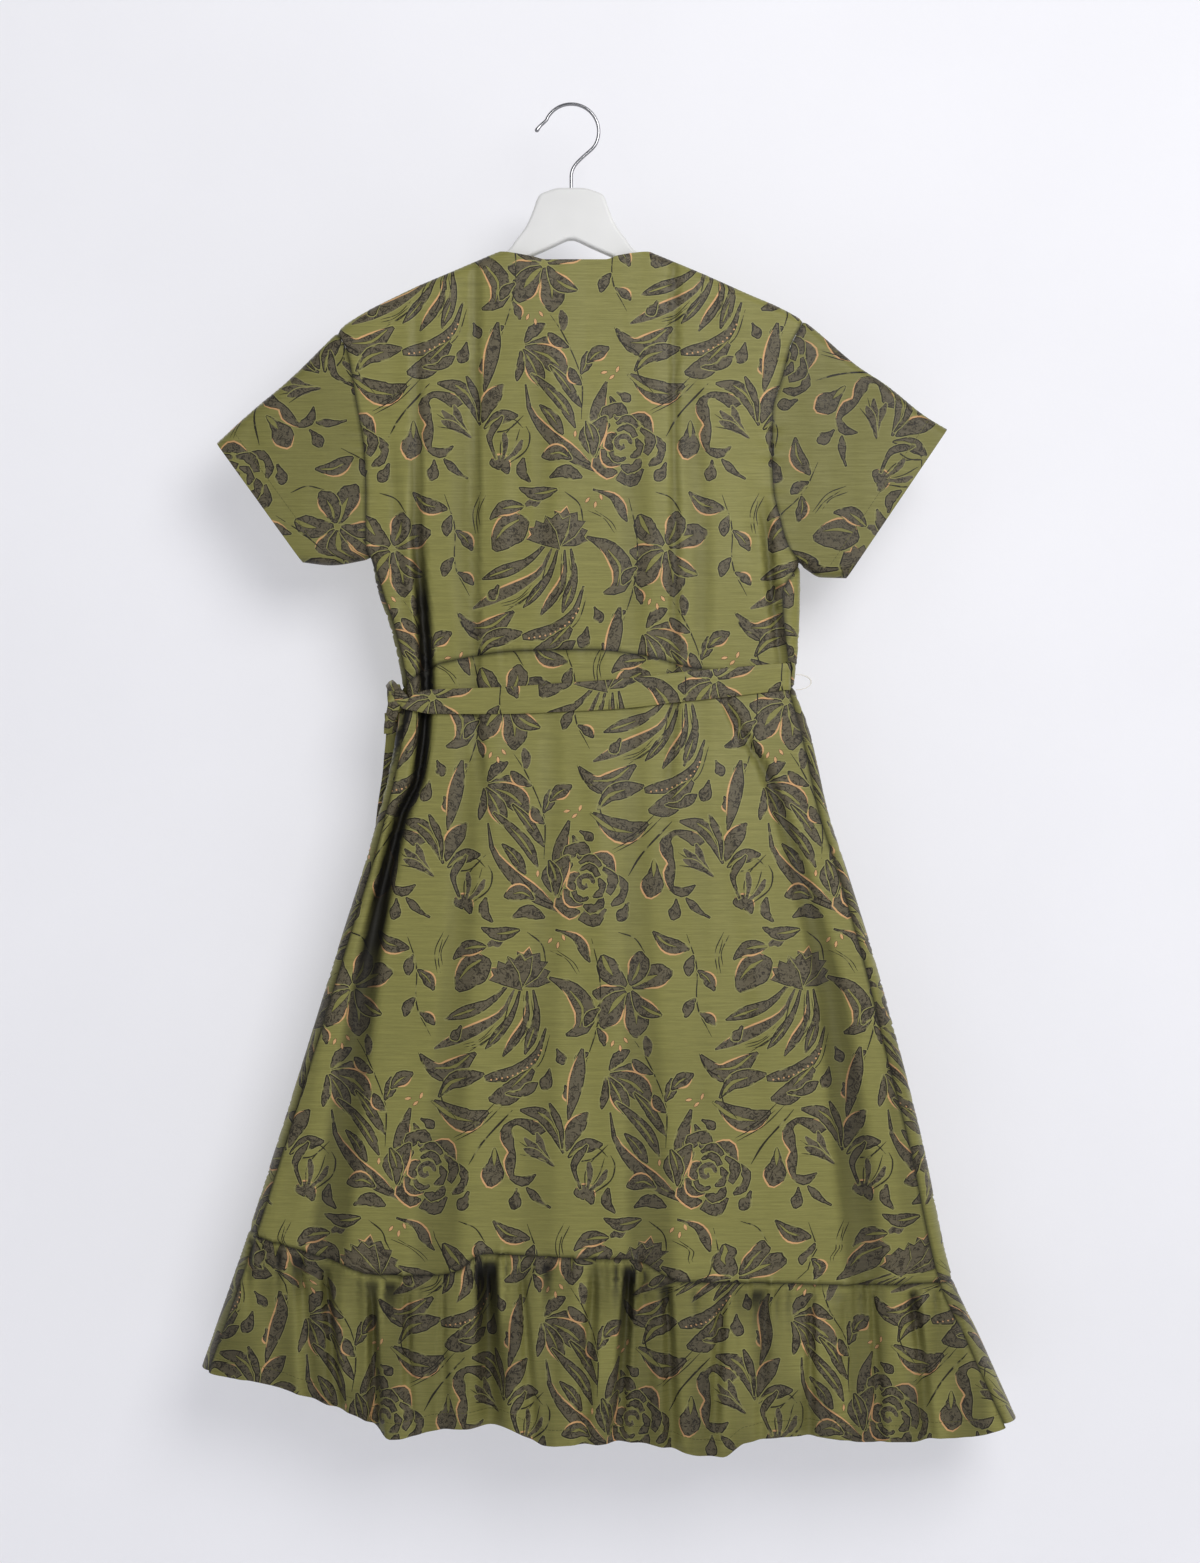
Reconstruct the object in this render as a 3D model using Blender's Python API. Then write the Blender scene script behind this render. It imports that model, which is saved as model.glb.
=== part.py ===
"""A wrap dress on a plain hanger, hung by the hanger's hook.

The frame: +Z up, the origin at the inner top of the hook, the back of the dress towards -Y and its
wrapped front towards +Y.  +X is the wearer's right.  Every table and size below is in millimetres.

The cloth is one flattened tube.  Its outline comes from a few edge lines, its thickness from a table of
sections, and the two layers roll together over the last millimetres before the shoulders, the sleeves'
edges and the sides.  Each sewn piece is a wall cut from that form along its own seams.
"""
import math
from collections import namedtuple

import bmesh
import bpy
import numpy as np

MM = 0.001
WALL = 1.2              # cloth with its turned edges
SEAM_GAP = 0.3          # between neighbouring pieces
LAYER_DROP = 4.2        # how far the under front lies below the over front
LAYER_RAMP = 20.0       # the width over which the under front sinks to that depth
LAYER_LEAD = 26.0       # how far before the over front's edge it starts to sink
NORMAL_STEP = 0.4       # half the step that measures the surface's slope

BACK = -1
FRONT = 1


class Line:
    """A smooth curve without overshoot through the rows (key, value), level beyond its ends."""

    def __init__(self, *rows):
        table = np.array(sorted(rows), dtype=float)
        self.keys = table[:, 0]
        self.values = table[:, 1]
        slope = np.diff(self.values) / np.diff(self.keys)
        self.tangents = np.concatenate((slope[:1], np.zeros(len(table) - 2), slope[-1:]))
        for row in range(1, len(table) - 1):
            before, after = slope[row - 1], slope[row]
            if before * after > 0:
                self.tangents[row] = 2 * before * after / (before + after)

    def __call__(self, key):
        key = np.clip(key, self.keys[0], self.keys[-1])
        span = np.clip(np.searchsorted(self.keys, key) - 1, 0, len(self.keys) - 2)
        width = self.keys[span + 1] - self.keys[span]
        t = (key - self.keys[span]) / width
        return (self.values[span] * (1 + 2 * t) * (1 - t) ** 2
                + self.values[span + 1] * t * t * (3 - 2 * t)
                + self.tangents[span] * width * t * (1 - t) ** 2
                + self.tangents[span + 1] * width * t * t * (t - 1))

    def lean(self, key):
        """The factor from a distance along the value's axis to one square to the curve."""
        slope = (self(key + NORMAL_STEP) - self(key - NORMAL_STEP)) / (2 * NORMAL_STEP)
        return 1 / np.sqrt(1 + slope * slope)


def columns(names, rows):
    """One Line for each column of a table whose first column is the key."""
    return namedtuple("Lines", names)(*(Line(*((row[0], row[i]) for row in rows))
                                        for i in range(1, len(rows[0]))))


def smooth_step(value):
    t = np.clip(value, 0, 1)
    return t * t * (3 - 2 * t)


def blend(start, end, share):
    return start + (end - start) * share


# ---------------------------------------------------------------- the outline, seen from behind

Corner = namedtuple("Corner", "x z")
SHOULDER_END = {"left": Corner(-228, -221), "right": Corner(226, -209.6)}
UNDERARM = {"left": Corner(-196, -441.5), "right": Corner(222.5, -447)}
CUFF_TOP = {"left": Corner(-344.9, -328.4), "right": Corner(365.6, -314.9)}
CUFF_FOOT = {"left": Corner(-261.2, -444.4), "right": Corner(267.6, -459.8)}
NECK_POINT = {"left": Corner(-71.5, -142.5), "right": Corner(77.3, -142.5)}

# x, z of the fold over the shoulders and along the sleeves; it rises over the open neck
TOP_EDGE = Line(CUFF_TOP["left"], (-311, -297.5), (-273.4, -265.7), SHOULDER_END["left"], (-219, -212.5),
                (-165.2, -183), (-107, -157.5), NECK_POINT["left"], (0, -112), NECK_POINT["right"],
                (127.5, -163.3), (172.9, -183.5), (201.9, -196), SHOULDER_END["right"], (278.2, -253),
                (307.2, -272.4), (344.9, -302.4), CUFF_TOP["right"])
NECK_EDGE = Line(NECK_POINT["left"], (-36.7, -148.8), (-25, -151.6), (34, -151.4), (45.4, -147.6),
                 NECK_POINT["right"])

# x, z of the sleeves' under edges
UNDER_SLEEVE = {
    "left": Line(CUFF_FOOT["left"], (-233.8, -447.3), UNDERARM["left"]),
    "right": Line(UNDERARM["right"], (228, -451), (242.5, -458.9), CUFF_FOOT["right"]),
}

# z, x of the sides from the underarm to below the hem
SIDE = {
    "left": Line((-441.5, -196), (-476, -187.5), (-504, -177.7), (-544, -168), (-562, -165), (-600, -169),
                 (-650, -178), (-690, -188), (-731, -199), (-804, -222), (-1092.5, -313), (-1224, -358.4),
                 (-1310, -388)),
    "right": Line((-447, 222.5), (-477, 223), (-530, 221), (-564, 217.4), (-593, 227), (-616, 234),
                  (-684, 249.2), (-747.7, 269.5), (-825, 293.7), (-912, 317.8), (-1008.5, 342),
                  (-1139.9, 370.9), (-1192, 395), (-1274, 431.8), (-1310, 448)),
}

# z, x of the armhole seams, shoulder to underarm
ARMHOLE = {
    "left": Line(SHOULDER_END["left"][::-1], (-240.5, -217.3), (-287, -208.7), (-337, -200.8),
                 (-379.6, -199), (-421, -199.4), UNDERARM["left"][::-1]),
    "right": Line(SHOULDER_END["right"][::-1], (-235, 213), (-265.7, 204.8), (-299.5, 195.6),
                  (-347.8, 195.1), (-374.8, 196.5), (-400, 202), (-425, 209), UNDERARM["right"][::-1]),
}

# z, distance of the side seams behind the sides
SEAM_INSET = {
    "left": Line((-441.5, 0), (-470, 4.5), (-565, 4.5), (-620, 7), (-1140, 9), (-1310, 9)),
    "right": Line((-447, 0), (-475, 18), (-520, 14), (-566, 5), (-600, 9), (-750, 10), (-940, 15),
                  (-1310, 15)),
}

# x, z of the seams that cross the body, and of the hem
WAIST_SEAM = Line((-166, -566), (-136, -547), (-126.5, -543), (-49, -531.3), (18, -530.3), (66.7, -535),
                  (115, -546.8), (136, -550.6), (218, -566))
RUFFLE_SEAM = {
    BACK: Line((-313, -1092.5), (-261.8, -1108), (-220, -1121.5), (-192, -1130), (-135, -1131),
               (-108, -1125), (-86, -1109), (0, -1112), (55, -1113), (104, -1135), (206, -1138),
               (287, -1141.8), (371, -1140)),
    FRONT: Line((-313, -1092.5), (-250, -1110), (-150, -1126), (0, -1130), (150, -1137), (371, -1140)),
}
HEM = {
    BACK: Line((-358.4, -1224), (-285, -1236.5), (-246, -1250), (-190, -1272), (-172, -1285), (-120, -1275),
               (-66.7, -1272), (-20, -1289), (50, -1286), (145, -1300), (165, -1287), (220, -1281),
               (287, -1289.6), (389, -1284.8), (431.8, -1274)),
    FRONT: Line((-358.4, -1224), (-280, -1240), (-180, -1262), (-60, -1270), (60, -1276), (180, -1284),
                (300, -1284), (431.8, -1274)),
}

# z, x of the fronts' free edges: the wrap's neckline, then the opening down the skirt
OVER_EDGE = Line((-142.5, 77.3), (-240, 52), (-340, 18), (-430, -30), (-500, -85), (-547, -135),
                 (-700, -139), (-1140, -160), (-1310, -172))
UNDER_EDGE = Line((-142.5, -71.5), (-240, -46), (-340, -12), (-430, 38), (-500, 98), (-535, 145),
                  (-560, 188), (-700, 192), (-1140, 215), (-1310, 225))

# the over front starts at the right side and the under front at the left
FREE_EDGE = {"right": OVER_EDGE, "left": UNDER_EDGE}

# ---------------------------------------------------------------- the thickness and the folds

SECTIONS = columns("roll half_edge crown_back crown_front", [
    # z, width of the rolled edge, half thickness inside it, crown of the back, crown of the front
    (-112, 10, 10, 0, 0),
    (-165, 10, 10, 0.5, 0.5),
    (-220, 10, 10.5, 3, 4),
    (-330, 10.5, 11, 9, 13),
    (-441, 11, 12, 12, 17),
    (-565, 11, 12, 9, 12),
    (-700, 14, 17, 14, 16),
    (-1000, 20, 26, 20, 24),
    (-1140, 22, 28, 22, 26),
    (-1310, 24, 31, 24, 28),
])

FOLD_COLUMNS = "x half_width depth"
FOLDS = {BACK: {
    "left side": columns(FOLD_COLUMNS, [
        (-180, -149, 9, 0), (-230, -147, 9, 3), (-300, -144.5, 9, 7), (-429, -147, 10, 10),
        (-565, -141, 9, 11), (-589, -141, 9, 11), (-653, -148, 10, 13), (-690, -164, 11, 14),
        (-759, -181, 13, 13), (-815, -192, 16, 9), (-900, -205, 22, 5), (-1140, -238, 30, 4)]),
    "right hip": columns(FOLD_COLUMNS, [
        (-555, 144, 8, 0), (-580, 149.7, 8, 2), (-613, 167, 9, 4), (-645, 186.4, 10, 5),
        (-690, 203, 12, 5), (-748, 221, 16, 5), (-864, 250, 22, 6), (-1008, 269.5, 28, 6),
        (-1140, 285, 30, 5)]),
    "right side": columns(FOLD_COLUMNS, [
        (-375, 184, 9, 0), (-420, 190, 9, 5), (-475, 195, 8, 6), (-540, 203, 8, 3), (-565, 205, 8, 0)]),
    "left back": columns(FOLD_COLUMNS, [
        (-250, -96, 16, 0), (-400, -103, 18, 2.5), (-560, -98, 16, 2), (-1140, -130, 34, 4)]),
    "right back": columns(FOLD_COLUMNS, [
        (-250, 60, 18, 0), (-420, 62, 20, 2.5), (-560, 60, 16, 1.5), (-1140, 78, 36, 5)]),
}, FRONT: {
    "over bust": columns(FOLD_COLUMNS, [
        (-260, 142, 16, 0), (-400, 128, 20, 3), (-545, 96, 16, 2), (-590, 92, 16, 2),
        (-800, 112, 26, 5), (-1140, 140, 36, 7)]),
    "under bust": columns(FOLD_COLUMNS, [
        (-260, -135, 16, 0), (-400, -122, 20, 3), (-530, -112, 16, 1), (-560, -112, 16, 0)]),
    "centre": columns(FOLD_COLUMNS, [
        (-560, 10, 18, 0), (-700, 6, 24, 4), (-900, -4, 32, 6), (-1140, -12, 38, 7)]),
    "left thigh": columns(FOLD_COLUMNS, [
        (-600, -70, 20, 0), (-800, -84, 26, 4), (-1140, -96, 34, 5)]),
    "right thigh": columns(FOLD_COLUMNS, [
        (-600, 190, 16, 0), (-800, 222, 26, 4), (-1140, 262, 36, 6)]),
}}

RUFFLE_DEPTH = 160.0
RUFFLE_FLARE = 7.0
GATHER_NECK = 0.45      # a gather's width at the seam, as a share of its width at the hem
GATHER_HASTE = 1.8      # how many times faster than the ruffle's depth a gather grows to full
Gather = namedtuple("Gather", "x_seam x_hem half_width depth")
GATHERS = {BACK: [Gather(*row) for row in (
    (-261, -247, 15, 4),
    (-238, -221, 12, 8),
    (-191, -186, 12, 12),
    (-158, -153, 10, 3),
    (-124, -120, 10, 3),
    (-81, -74, 16, 15),
    (-48, -36, 11, 5),
    (24, 13, 14, 7),
    (57, 46, 11, 5),
    (88, 93, 15, 13),
    (145, 134, 13, 9),
    (187, 181, 11, 3),
    (231, 227, 12, 9),
    (262, 266, 10, 3),
    (290, 297, 10, 4),
    (329, 345, 13, 11),
)], FRONT: [Gather(*row) for row in (
    (-276, -300, 18, 7),
    (-222, -238, 18, 8),
    (-181, -196, 15, 6),
    (-122, -128, 17, 8),
    (-74, -90, 16, 7),
    (-26, -32, 18, 9),
    (31, 22, 17, 7),
    (70, 76, 16, 8),
    (128, 124, 18, 9),
    (171, 182, 16, 6),
    (224, 235, 18, 9),
    (268, 290, 17, 7),
    (318, 345, 18, 8),
)]}


def distance_inside(x, z):
    """How far a point lies inside the edges where the two layers join; negative outside them."""
    top = (TOP_EDGE(x) - z) * TOP_EDGE.lean(x)
    inside = top
    for side, outward in (("left", -1), ("right", 1)):
        body = outward * (SIDE[side](z) - x) * SIDE[side].lean(z)
        sleeve = (z - UNDER_SLEEVE[side](x)) * UNDER_SLEEVE[side].lean(x)
        inside = np.minimum(inside, np.maximum(body, sleeve))
    return inside


def trough(offset, half_width):
    return 0.5 + 0.5 * np.cos(math.pi * np.clip(np.abs(offset) / half_width, 0, 1))


def ruffle_relief(x, z, face):
    """How far the ruffle stands out: its flare, less its gathers."""
    down = np.clip((RUFFLE_SEAM[face](x) - z) / RUFFLE_DEPTH, 0, 1)
    relief = RUFFLE_FLARE * down
    grown = smooth_step(GATHER_HASTE * down)
    for gather in GATHERS[face]:
        crease = blend(gather.x_seam, gather.x_hem, down)
        width = gather.half_width * blend(GATHER_NECK, 1, down)
        relief = relief - gather.depth * grown * trough(x - crease, width)
    return relief


def half_thickness(x, z, face, folded=True):
    """The layer's distance from the middle of the garment, away from the rolled edges."""
    left = np.where(z > UNDERARM["left"].z, ARMHOLE["left"](z), SIDE["left"](z))
    right = np.where(z > UNDERARM["right"].z, ARMHOLE["right"](z), SIDE["right"](z))
    across = (2 * x - left - right) / (right - left)
    crown = SECTIONS.crown_front(z) if face == FRONT else SECTIONS.crown_back(z)
    height = SECTIONS.half_edge(z) + crown * np.clip(1 - across * across, 0, 1) ** 2
    if folded:
        for fold in FOLDS[face].values():
            height = height - fold.depth(z) * trough(x - fold.x(z), fold.half_width(z))
        height = height + ruffle_relief(x, z, face)
    return height


def thickness_squared(x, z, face, folded):
    """The square of the layer's distance from the middle, below zero outside the outline."""
    rolled = 1 - np.minimum(distance_inside(x, z) / SECTIONS.roll(z), 1)
    return half_thickness(x, z, face, folded) ** 2 * (1 - rolled * rolled)


def cloth(across, z, face, lift=0.0, wraps=True, folded=True):
    """Points on the cloth, moved out by lift.  Beyond a side, across runs on round it."""
    across, z, lift = np.broadcast_arrays(np.asarray(across, float), np.asarray(z, float), lift)
    left, right = SIDE["left"](z), SIDE["right"](z)
    low = z < np.where(across < 0, UNDERARM["left"].z, UNDERARM["right"].z)
    round_left = wraps & low & (across < left)
    round_right = wraps & low & (across > right)
    x = np.where(round_left, 2 * left - across, np.where(round_right, 2 * right - across, across))
    on_other = round_left | round_right
    points = np.empty(x.shape + (3,))
    for layer in (BACK, FRONT):
        here = on_other if layer != face else ~on_other
        points[here] = layer_points(x[here], z[here], layer, lift[here], folded)
    return points


def layer_points(x, z, layer, lift, folded):
    square = thickness_squared(x, z, layer, folded)
    y = layer * np.maximum(np.sqrt(np.maximum(square, 0)), SEAM_GAP / 2)
    step = NORMAL_STEP
    slope_x = (thickness_squared(x + step, z, layer, folded)
               - thickness_squared(x - step, z, layer, folded)) / (2 * step)
    slope_z = (thickness_squared(x, z + step, layer, folded)
               - thickness_squared(x, z - step, layer, folded)) / (2 * step)
    normal = np.stack((-slope_x, 2 * y, -slope_z), axis=-1)
    normal /= np.linalg.norm(normal, axis=-1, keepdims=True)
    return np.stack((x, y, z), axis=-1) + normal * lift[..., None]


# ---------------------------------------------------------------- meshes and materials

Finish = namedtuple("Finish", "colour roughness metallic")
FINISHES = {
    "printed_satin": Finish((0.20, 0.19, 0.05), 0.5, 0.0),
    "clear_tape": Finish((0.85, 0.84, 0.80), 0.4, 0.0),
    "painted_wood": Finish((0.80, 0.80, 0.80), 0.45, 0.0),
    "chrome": Finish((0.72, 0.72, 0.74), 0.12, 1.0),
}


def start_scene():
    for thing in list(bpy.data.objects):
        bpy.data.objects.remove(thing, do_unlink=True)
    made = {}
    for name in ("wrap_dress", "cutters"):
        made[name] = bpy.data.collections.new(name)
        bpy.context.scene.collection.children.link(made[name])
    return made


def material(name):
    found = bpy.data.materials.get(name)
    if found:
        return found
    finish = FINISHES[name]
    found = bpy.data.materials.new(name)
    found.use_nodes = True
    shader = found.node_tree.nodes["Principled BSDF"]
    shader.inputs["Base Color"].default_value = (*finish.colour, 1)
    shader.inputs["Roughness"].default_value = finish.roughness
    shader.inputs["Metallic"].default_value = finish.metallic
    return found


def place(name, data, finish, collection):
    data.materials.append(material(finish))
    thing = bpy.data.objects.new(name, data)
    collection.objects.link(thing)
    return thing


def wall(name, outer, inner, collection, ring=False, finish="printed_satin"):
    """A closed wall between two grids of points; a ring also closes on itself along its columns."""
    rows, count = outer.shape[:2]
    mesh = bmesh.new()
    layers = [[[mesh.verts.new(point * MM) for point in row] for row in grid] for grid in (outer, inner)]
    spans = range(count if ring else count - 1)
    for row in range(rows - 1):
        for column in spans:
            after = (column + 1) % count
            for layer in layers:
                mesh.faces.new((layer[row][column], layer[row][after],
                                layer[row + 1][after], layer[row + 1][column]))
    top, foot = layers
    for row in (0, rows - 1):
        for column in spans:
            after = (column + 1) % count
            mesh.faces.new((top[row][column], foot[row][column], foot[row][after], top[row][after]))
    if not ring:
        for column in (0, count - 1):
            for row in range(rows - 1):
                mesh.faces.new((top[row][column], top[row + 1][column],
                                foot[row + 1][column], foot[row][column]))
    bmesh.ops.recalc_face_normals(mesh, faces=mesh.faces)
    data = bpy.data.meshes.new(name)
    mesh.to_mesh(data)
    mesh.free()
    data.shade_smooth()
    return place(name, data, finish, collection)


# ---------------------------------------------------------------- cutting the pieces

EASE_FROM = 0.8         # share of the armhole from which its seam opens towards the underarm
UPPER_SHARES = (0, 0.012, 0.045, 0.16, 0.32, 0.5, 0.68, 0.84, 0.945, 0.985, 1)
LOWER_SHARES = (0.25, 0.6, 1)
SKIRT_SHARES = (0, 0.05, 0.14, 0.26, 0.4, 0.58, 0.79, 1)
RUFFLE_SHARES = (0, 0.03, 0.2, 0.5, 0.8, 1)
CUFF_SHARES = (0, 0.1, 0.3, 0.55, 0.8, 1)
RIM_BLEND = 25.0        # below the underarm, the height over which a front's columns move to the rim
TOP_STEPS = 12          # rounds that settle where a column meets the top edge
SHOULDER_LEVEL, WAIST_LEVEL, RUFFLE_TOP, RUFFLE_FOOT = -160.0, -550.0, -1120.0, -1280.0
FRONT_SPANS = 16
NECK_STEP = 8.0         # the back's columns are this close beside the neck points
SEAM_EASE = 0.5         # a little more gap where a seam is curved
HALF_ROLL = 0.29        # share of the rolled edge's width at which it has turned 45 degrees
CREASE_MARGIN = 30.0    # no crease column starts nearer to a front's edges
DEEP_GATHER = 8         # from this depth on a gather has columns on its lips too
LIP_PLACE = 0.85        # the lips' distance from the crease, as a share of the half width
LEAST_GAP, WIDE_GAP = 6.0, 24.0     # between the ruffle's columns
RIM_WIDTH = 20.0        # the ruffle's first column beside the side seam


def outward(side):
    return -1 if side == "left" else 1


def back_side(side):
    """The back's edge: the armhole seam, then the side seam."""
    def line(z):
        seam = np.where(z > UNDERARM[side].z, ARMHOLE[side](z),
                        SIDE[side](z) - outward(side) * SEAM_INSET[side](z))
        return seam - outward(side) * SEAM_GAP / 2
    return line


def front_side(side):
    """The front's edge: the armhole seam, then the side seam, which lies round the side."""
    def line(z):
        seam = np.where(z > UNDERARM[side].z, ARMHOLE[side](z),
                        SIDE[side](z) + outward(side) * SEAM_INSET[side](z))
        return seam - outward(side) * SEAM_GAP / 2
    return line


def front_rim(side, rolled, beside_armhole):
    """A front's column that follows the rolled side, and lies beside the armhole above it."""
    def line(z):
        below = np.clip((UNDERARM[side].z - z) / RIM_BLEND, 0, 1)
        limit = np.minimum(rolled * SECTIONS.roll(z), 0.5 * SEAM_INSET[side](z)) if rolled > 0 \
            else rolled * SECTIONS.roll(z)
        round_side = SIDE[side](z) + outward(side) * limit
        by_armhole = front_side(side)(np.maximum(z, UNDERARM[side].z)) - outward(side) * beside_armhole
        return blend(by_armhole, round_side, below)
    return line


def beside(fold, steps):
    return lambda z: fold.x(z) + steps * fold.half_width(z)


def column_x(key_columns, z):
    """The x of every column at that column's own z, even between the key columns."""
    numbers = np.arange(key_columns[-1][0] + 1)
    x = np.empty(len(numbers))
    for (first, line_a), (last, line_b) in zip(key_columns, key_columns[1:]):
        part = slice(first, last + 1)
        share = (numbers[part] - first) / (last - first)
        x[part] = blend(line_a(z[part]), line_b(z[part]), share)
    return x


def meet(key_columns, edge, start):
    """Where each column meets an edge given as z over x."""
    z = np.full(key_columns[-1][0] + 1, float(start))
    for _ in range(TOP_STEPS):
        z = edge(column_x(key_columns, z))
    return z


def grid_between(key_columns, levels, shares):
    """Rows of (across, z) between level lines; shares has one tuple for each gap between levels."""
    rows = []
    for (upper, lower), steps in zip(zip(levels, levels[1:]), shares):
        rows += [blend(upper, lower, step) for step in steps]
    z = np.array(rows)
    return np.array([column_x(key_columns, row) for row in z]), z


def back_top(x):
    on_neck = (x > NECK_POINT["left"].x) & (x < NECK_POINT["right"].x)
    return np.where(on_neck, NECK_EDGE(x), TOP_EDGE(x))


def underarm_level(x):
    left, right = UNDERARM["left"], UNDERARM["right"]
    return blend(left.z, right.z, np.clip((x - left.x) / (right.x - left.x), 0, 1))


def under_lift(across, z):
    """The under front sinks before it passes below the over front."""
    return -LAYER_DROP * smooth_step((across - OVER_EDGE(z) + LAYER_LEAD) / LAYER_RAMP)


def level(across, z):
    return np.zeros(np.shape(z))


def panel(name, across, z, face, collection, lift=level):
    depth = lift(across, z)
    return wall(name, cloth(across, z, face, depth), cloth(across, z, face, depth - WALL), collection)


def back_columns():
    left, right = FOLDS[BACK]["left side"], FOLDS[BACK]["right hip"]
    neck_left, neck_right = NECK_POINT["left"], NECK_POINT["right"]
    return [(0, back_side("left")), (3, beside(left, -1)), (4, beside(left, -0.5)), (5, beside(left, 0)),
            (6, beside(left, 0.5)), (7, beside(left, 1)),
            (9, Line((neck_left.z, neck_left.x), (-565, -72), (-1140, -90))),
            (10, Line((neck_left.z, neck_left.x + NECK_STEP), (-565, -54), (-1140, -66))),
            (14, Line((neck_right.z, neck_right.x - NECK_STEP), (-565, 60), (-1140, 78))),
            (15, Line((neck_right.z, neck_right.x), (-565, 80), (-1140, 106))),
            (18, beside(right, -1)), (19, beside(right, 0)), (20, beside(right, 1)),
            (23, back_side("right"))]


def front_rims(side):
    return [(0, front_side(side)), (1, front_rim(side, HALF_ROLL, 2)), (2, front_rim(side, 0, 5)),
            (3, front_rim(side, -HALF_ROLL, 9)), (4, front_rim(side, -1, 16))]


def bodice_front_columns(side):
    return front_rims(side) + [(FRONT_SPANS, FREE_EDGE[side])]


def skirt_front_columns(side):
    """Both fronts have columns on the same creases and half way between them."""
    creases = [fold.x for name, fold in FOLDS[FRONT].items() if name != "under bust"]
    creases.sort(key=lambda crease: outward(side) * crease(RUFFLE_TOP), reverse=True)
    start, end = outward(side) * SIDE[side](RUFFLE_TOP), outward(side) * FREE_EDGE[side](RUFFLE_TOP)
    keys = front_rims(side)
    for crease in creases:
        if start - CREASE_MARGIN > outward(side) * crease(RUFFLE_TOP) > end + CREASE_MARGIN:
            keys.append((keys[-1][0] + 2, crease))
    return keys + [(keys[-1][0] + 2, FREE_EDGE[side])]


def bodice_grid(key_columns, top):
    upper = meet(key_columns, top, SHOULDER_LEVEL)
    middle = meet(key_columns, underarm_level, UNDERARM["left"].z)
    lower = meet(key_columns, WAIST_SEAM, WAIST_LEVEL) + SEAM_GAP / 2
    return grid_between(key_columns, (upper, middle, lower), (UPPER_SHARES, LOWER_SHARES))


def hang_below(key_columns, edge, start):
    """Where each column starts, so that the piece hangs clear below the corners of the edge above it."""
    order = np.argsort(edge[0])
    edge_x, edge_z = edge[0][order], edge[1][order]
    gap = SEAM_GAP + SEAM_EASE
    z = meet(key_columns, lambda x: np.interp(x, edge_x, edge_z) - gap, start)
    x = column_x(key_columns, z)
    order = np.argsort(x)
    for corner_x, corner_z in zip(edge_x, edge_z):
        rise = np.interp(corner_x, x[order], z[order]) - (corner_z - gap)
        z[np.argsort(np.abs(x - corner_x))[:2]] -= max(0.0, rise)
    return z


def skirt_grid(key_columns, face, waist_edge):
    upper = hang_below(key_columns, waist_edge, WAIST_LEVEL)
    lower = meet(key_columns, RUFFLE_SEAM[face], RUFFLE_TOP) + SEAM_GAP / 2
    return grid_between(key_columns, (upper, lower), (SKIRT_SHARES,))


def ruffle_columns(face, lines_before, last):
    """Columns on the gathers' creases and lips, and others so that no gap is wide."""
    marks = []
    for gather in GATHERS[face]:
        for lip in (-1, 0, 1) if gather.depth >= DEEP_GATHER else (0,):
            reach = lip * gather.half_width * LIP_PLACE
            marks.append((gather.x_seam + reach * GATHER_NECK, gather.x_hem + reach))
    lines = list(lines_before)
    start, end = lines[-1], last[0]
    heading = 1 if end(RUFFLE_TOP) > start(RUFFLE_TOP) else -1
    for seam_x, hem_x in sorted(marks, reverse=heading < 0):
        clear = [heading * (seam_x - lines[-1](RUFFLE_TOP)), heading * (hem_x - lines[-1](RUFFLE_FOOT)),
                 heading * (end(RUFFLE_TOP) - seam_x), heading * (end(RUFFLE_FOOT) - hem_x)]
        if min(clear) > LEAST_GAP:
            lines.append(Line((RUFFLE_FOOT, hem_x), (RUFFLE_TOP, seam_x)))
    lines += last
    keys, number = [(0, lines[0])], 0
    for here, following in zip(lines, lines[1:]):
        width = abs(following(RUFFLE_FOOT) - here(RUFFLE_FOOT))
        number += max(1, round(float(width) / WIDE_GAP))
        keys.append((number, following))
    return keys


def ruffle_grid(key_columns, face, skirt_edge):
    upper = hang_below(key_columns, skirt_edge, RUFFLE_TOP)
    lower = meet(key_columns, HEM[face], RUFFLE_FOOT)
    return grid_between(key_columns, (upper, lower), (RUFFLE_SHARES,))


def hung_panels(suffix, bodice, skirt_keys, ruffle_keys, face, collection, lift=level):
    """A bodice panel with its skirt hung below it and its ruffle below that."""
    panel(suffix.format("bodice"), *bodice, face, collection, lift)
    skirt = skirt_grid(skirt_keys, face, (bodice[0][-1], bodice[1][-1]))
    panel(suffix.format("skirt"), *skirt, face, collection, lift)
    ruffle = ruffle_grid(ruffle_keys, face, (skirt[0][-1], skirt[1][-1]))
    panel(suffix.format("ruffle"), *ruffle, face, collection, lift)


def make_back(collection):
    keys = back_columns()
    left, right = back_side("left"), back_side("right")
    ruffle_keys = ruffle_columns(BACK, [left, lambda z: left(z) + RIM_WIDTH],
                                 [lambda z: right(z) - RIM_WIDTH, right])
    hung_panels("back_{}", bodice_grid(keys, back_top), keys, ruffle_keys, BACK, collection)


def make_front(collection):
    for piece, side, lift in (("over", "right", level), ("under", "left", under_lift)):
        rim = [line for _, line in front_rims(side)]
        hung_panels("front_{}_" + piece, bodice_grid(bodice_front_columns(side), TOP_EDGE),
                    skirt_front_columns(side), ruffle_columns(FRONT, rim, [FREE_EDGE[side]]), FRONT,
                    collection, lift)


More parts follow.
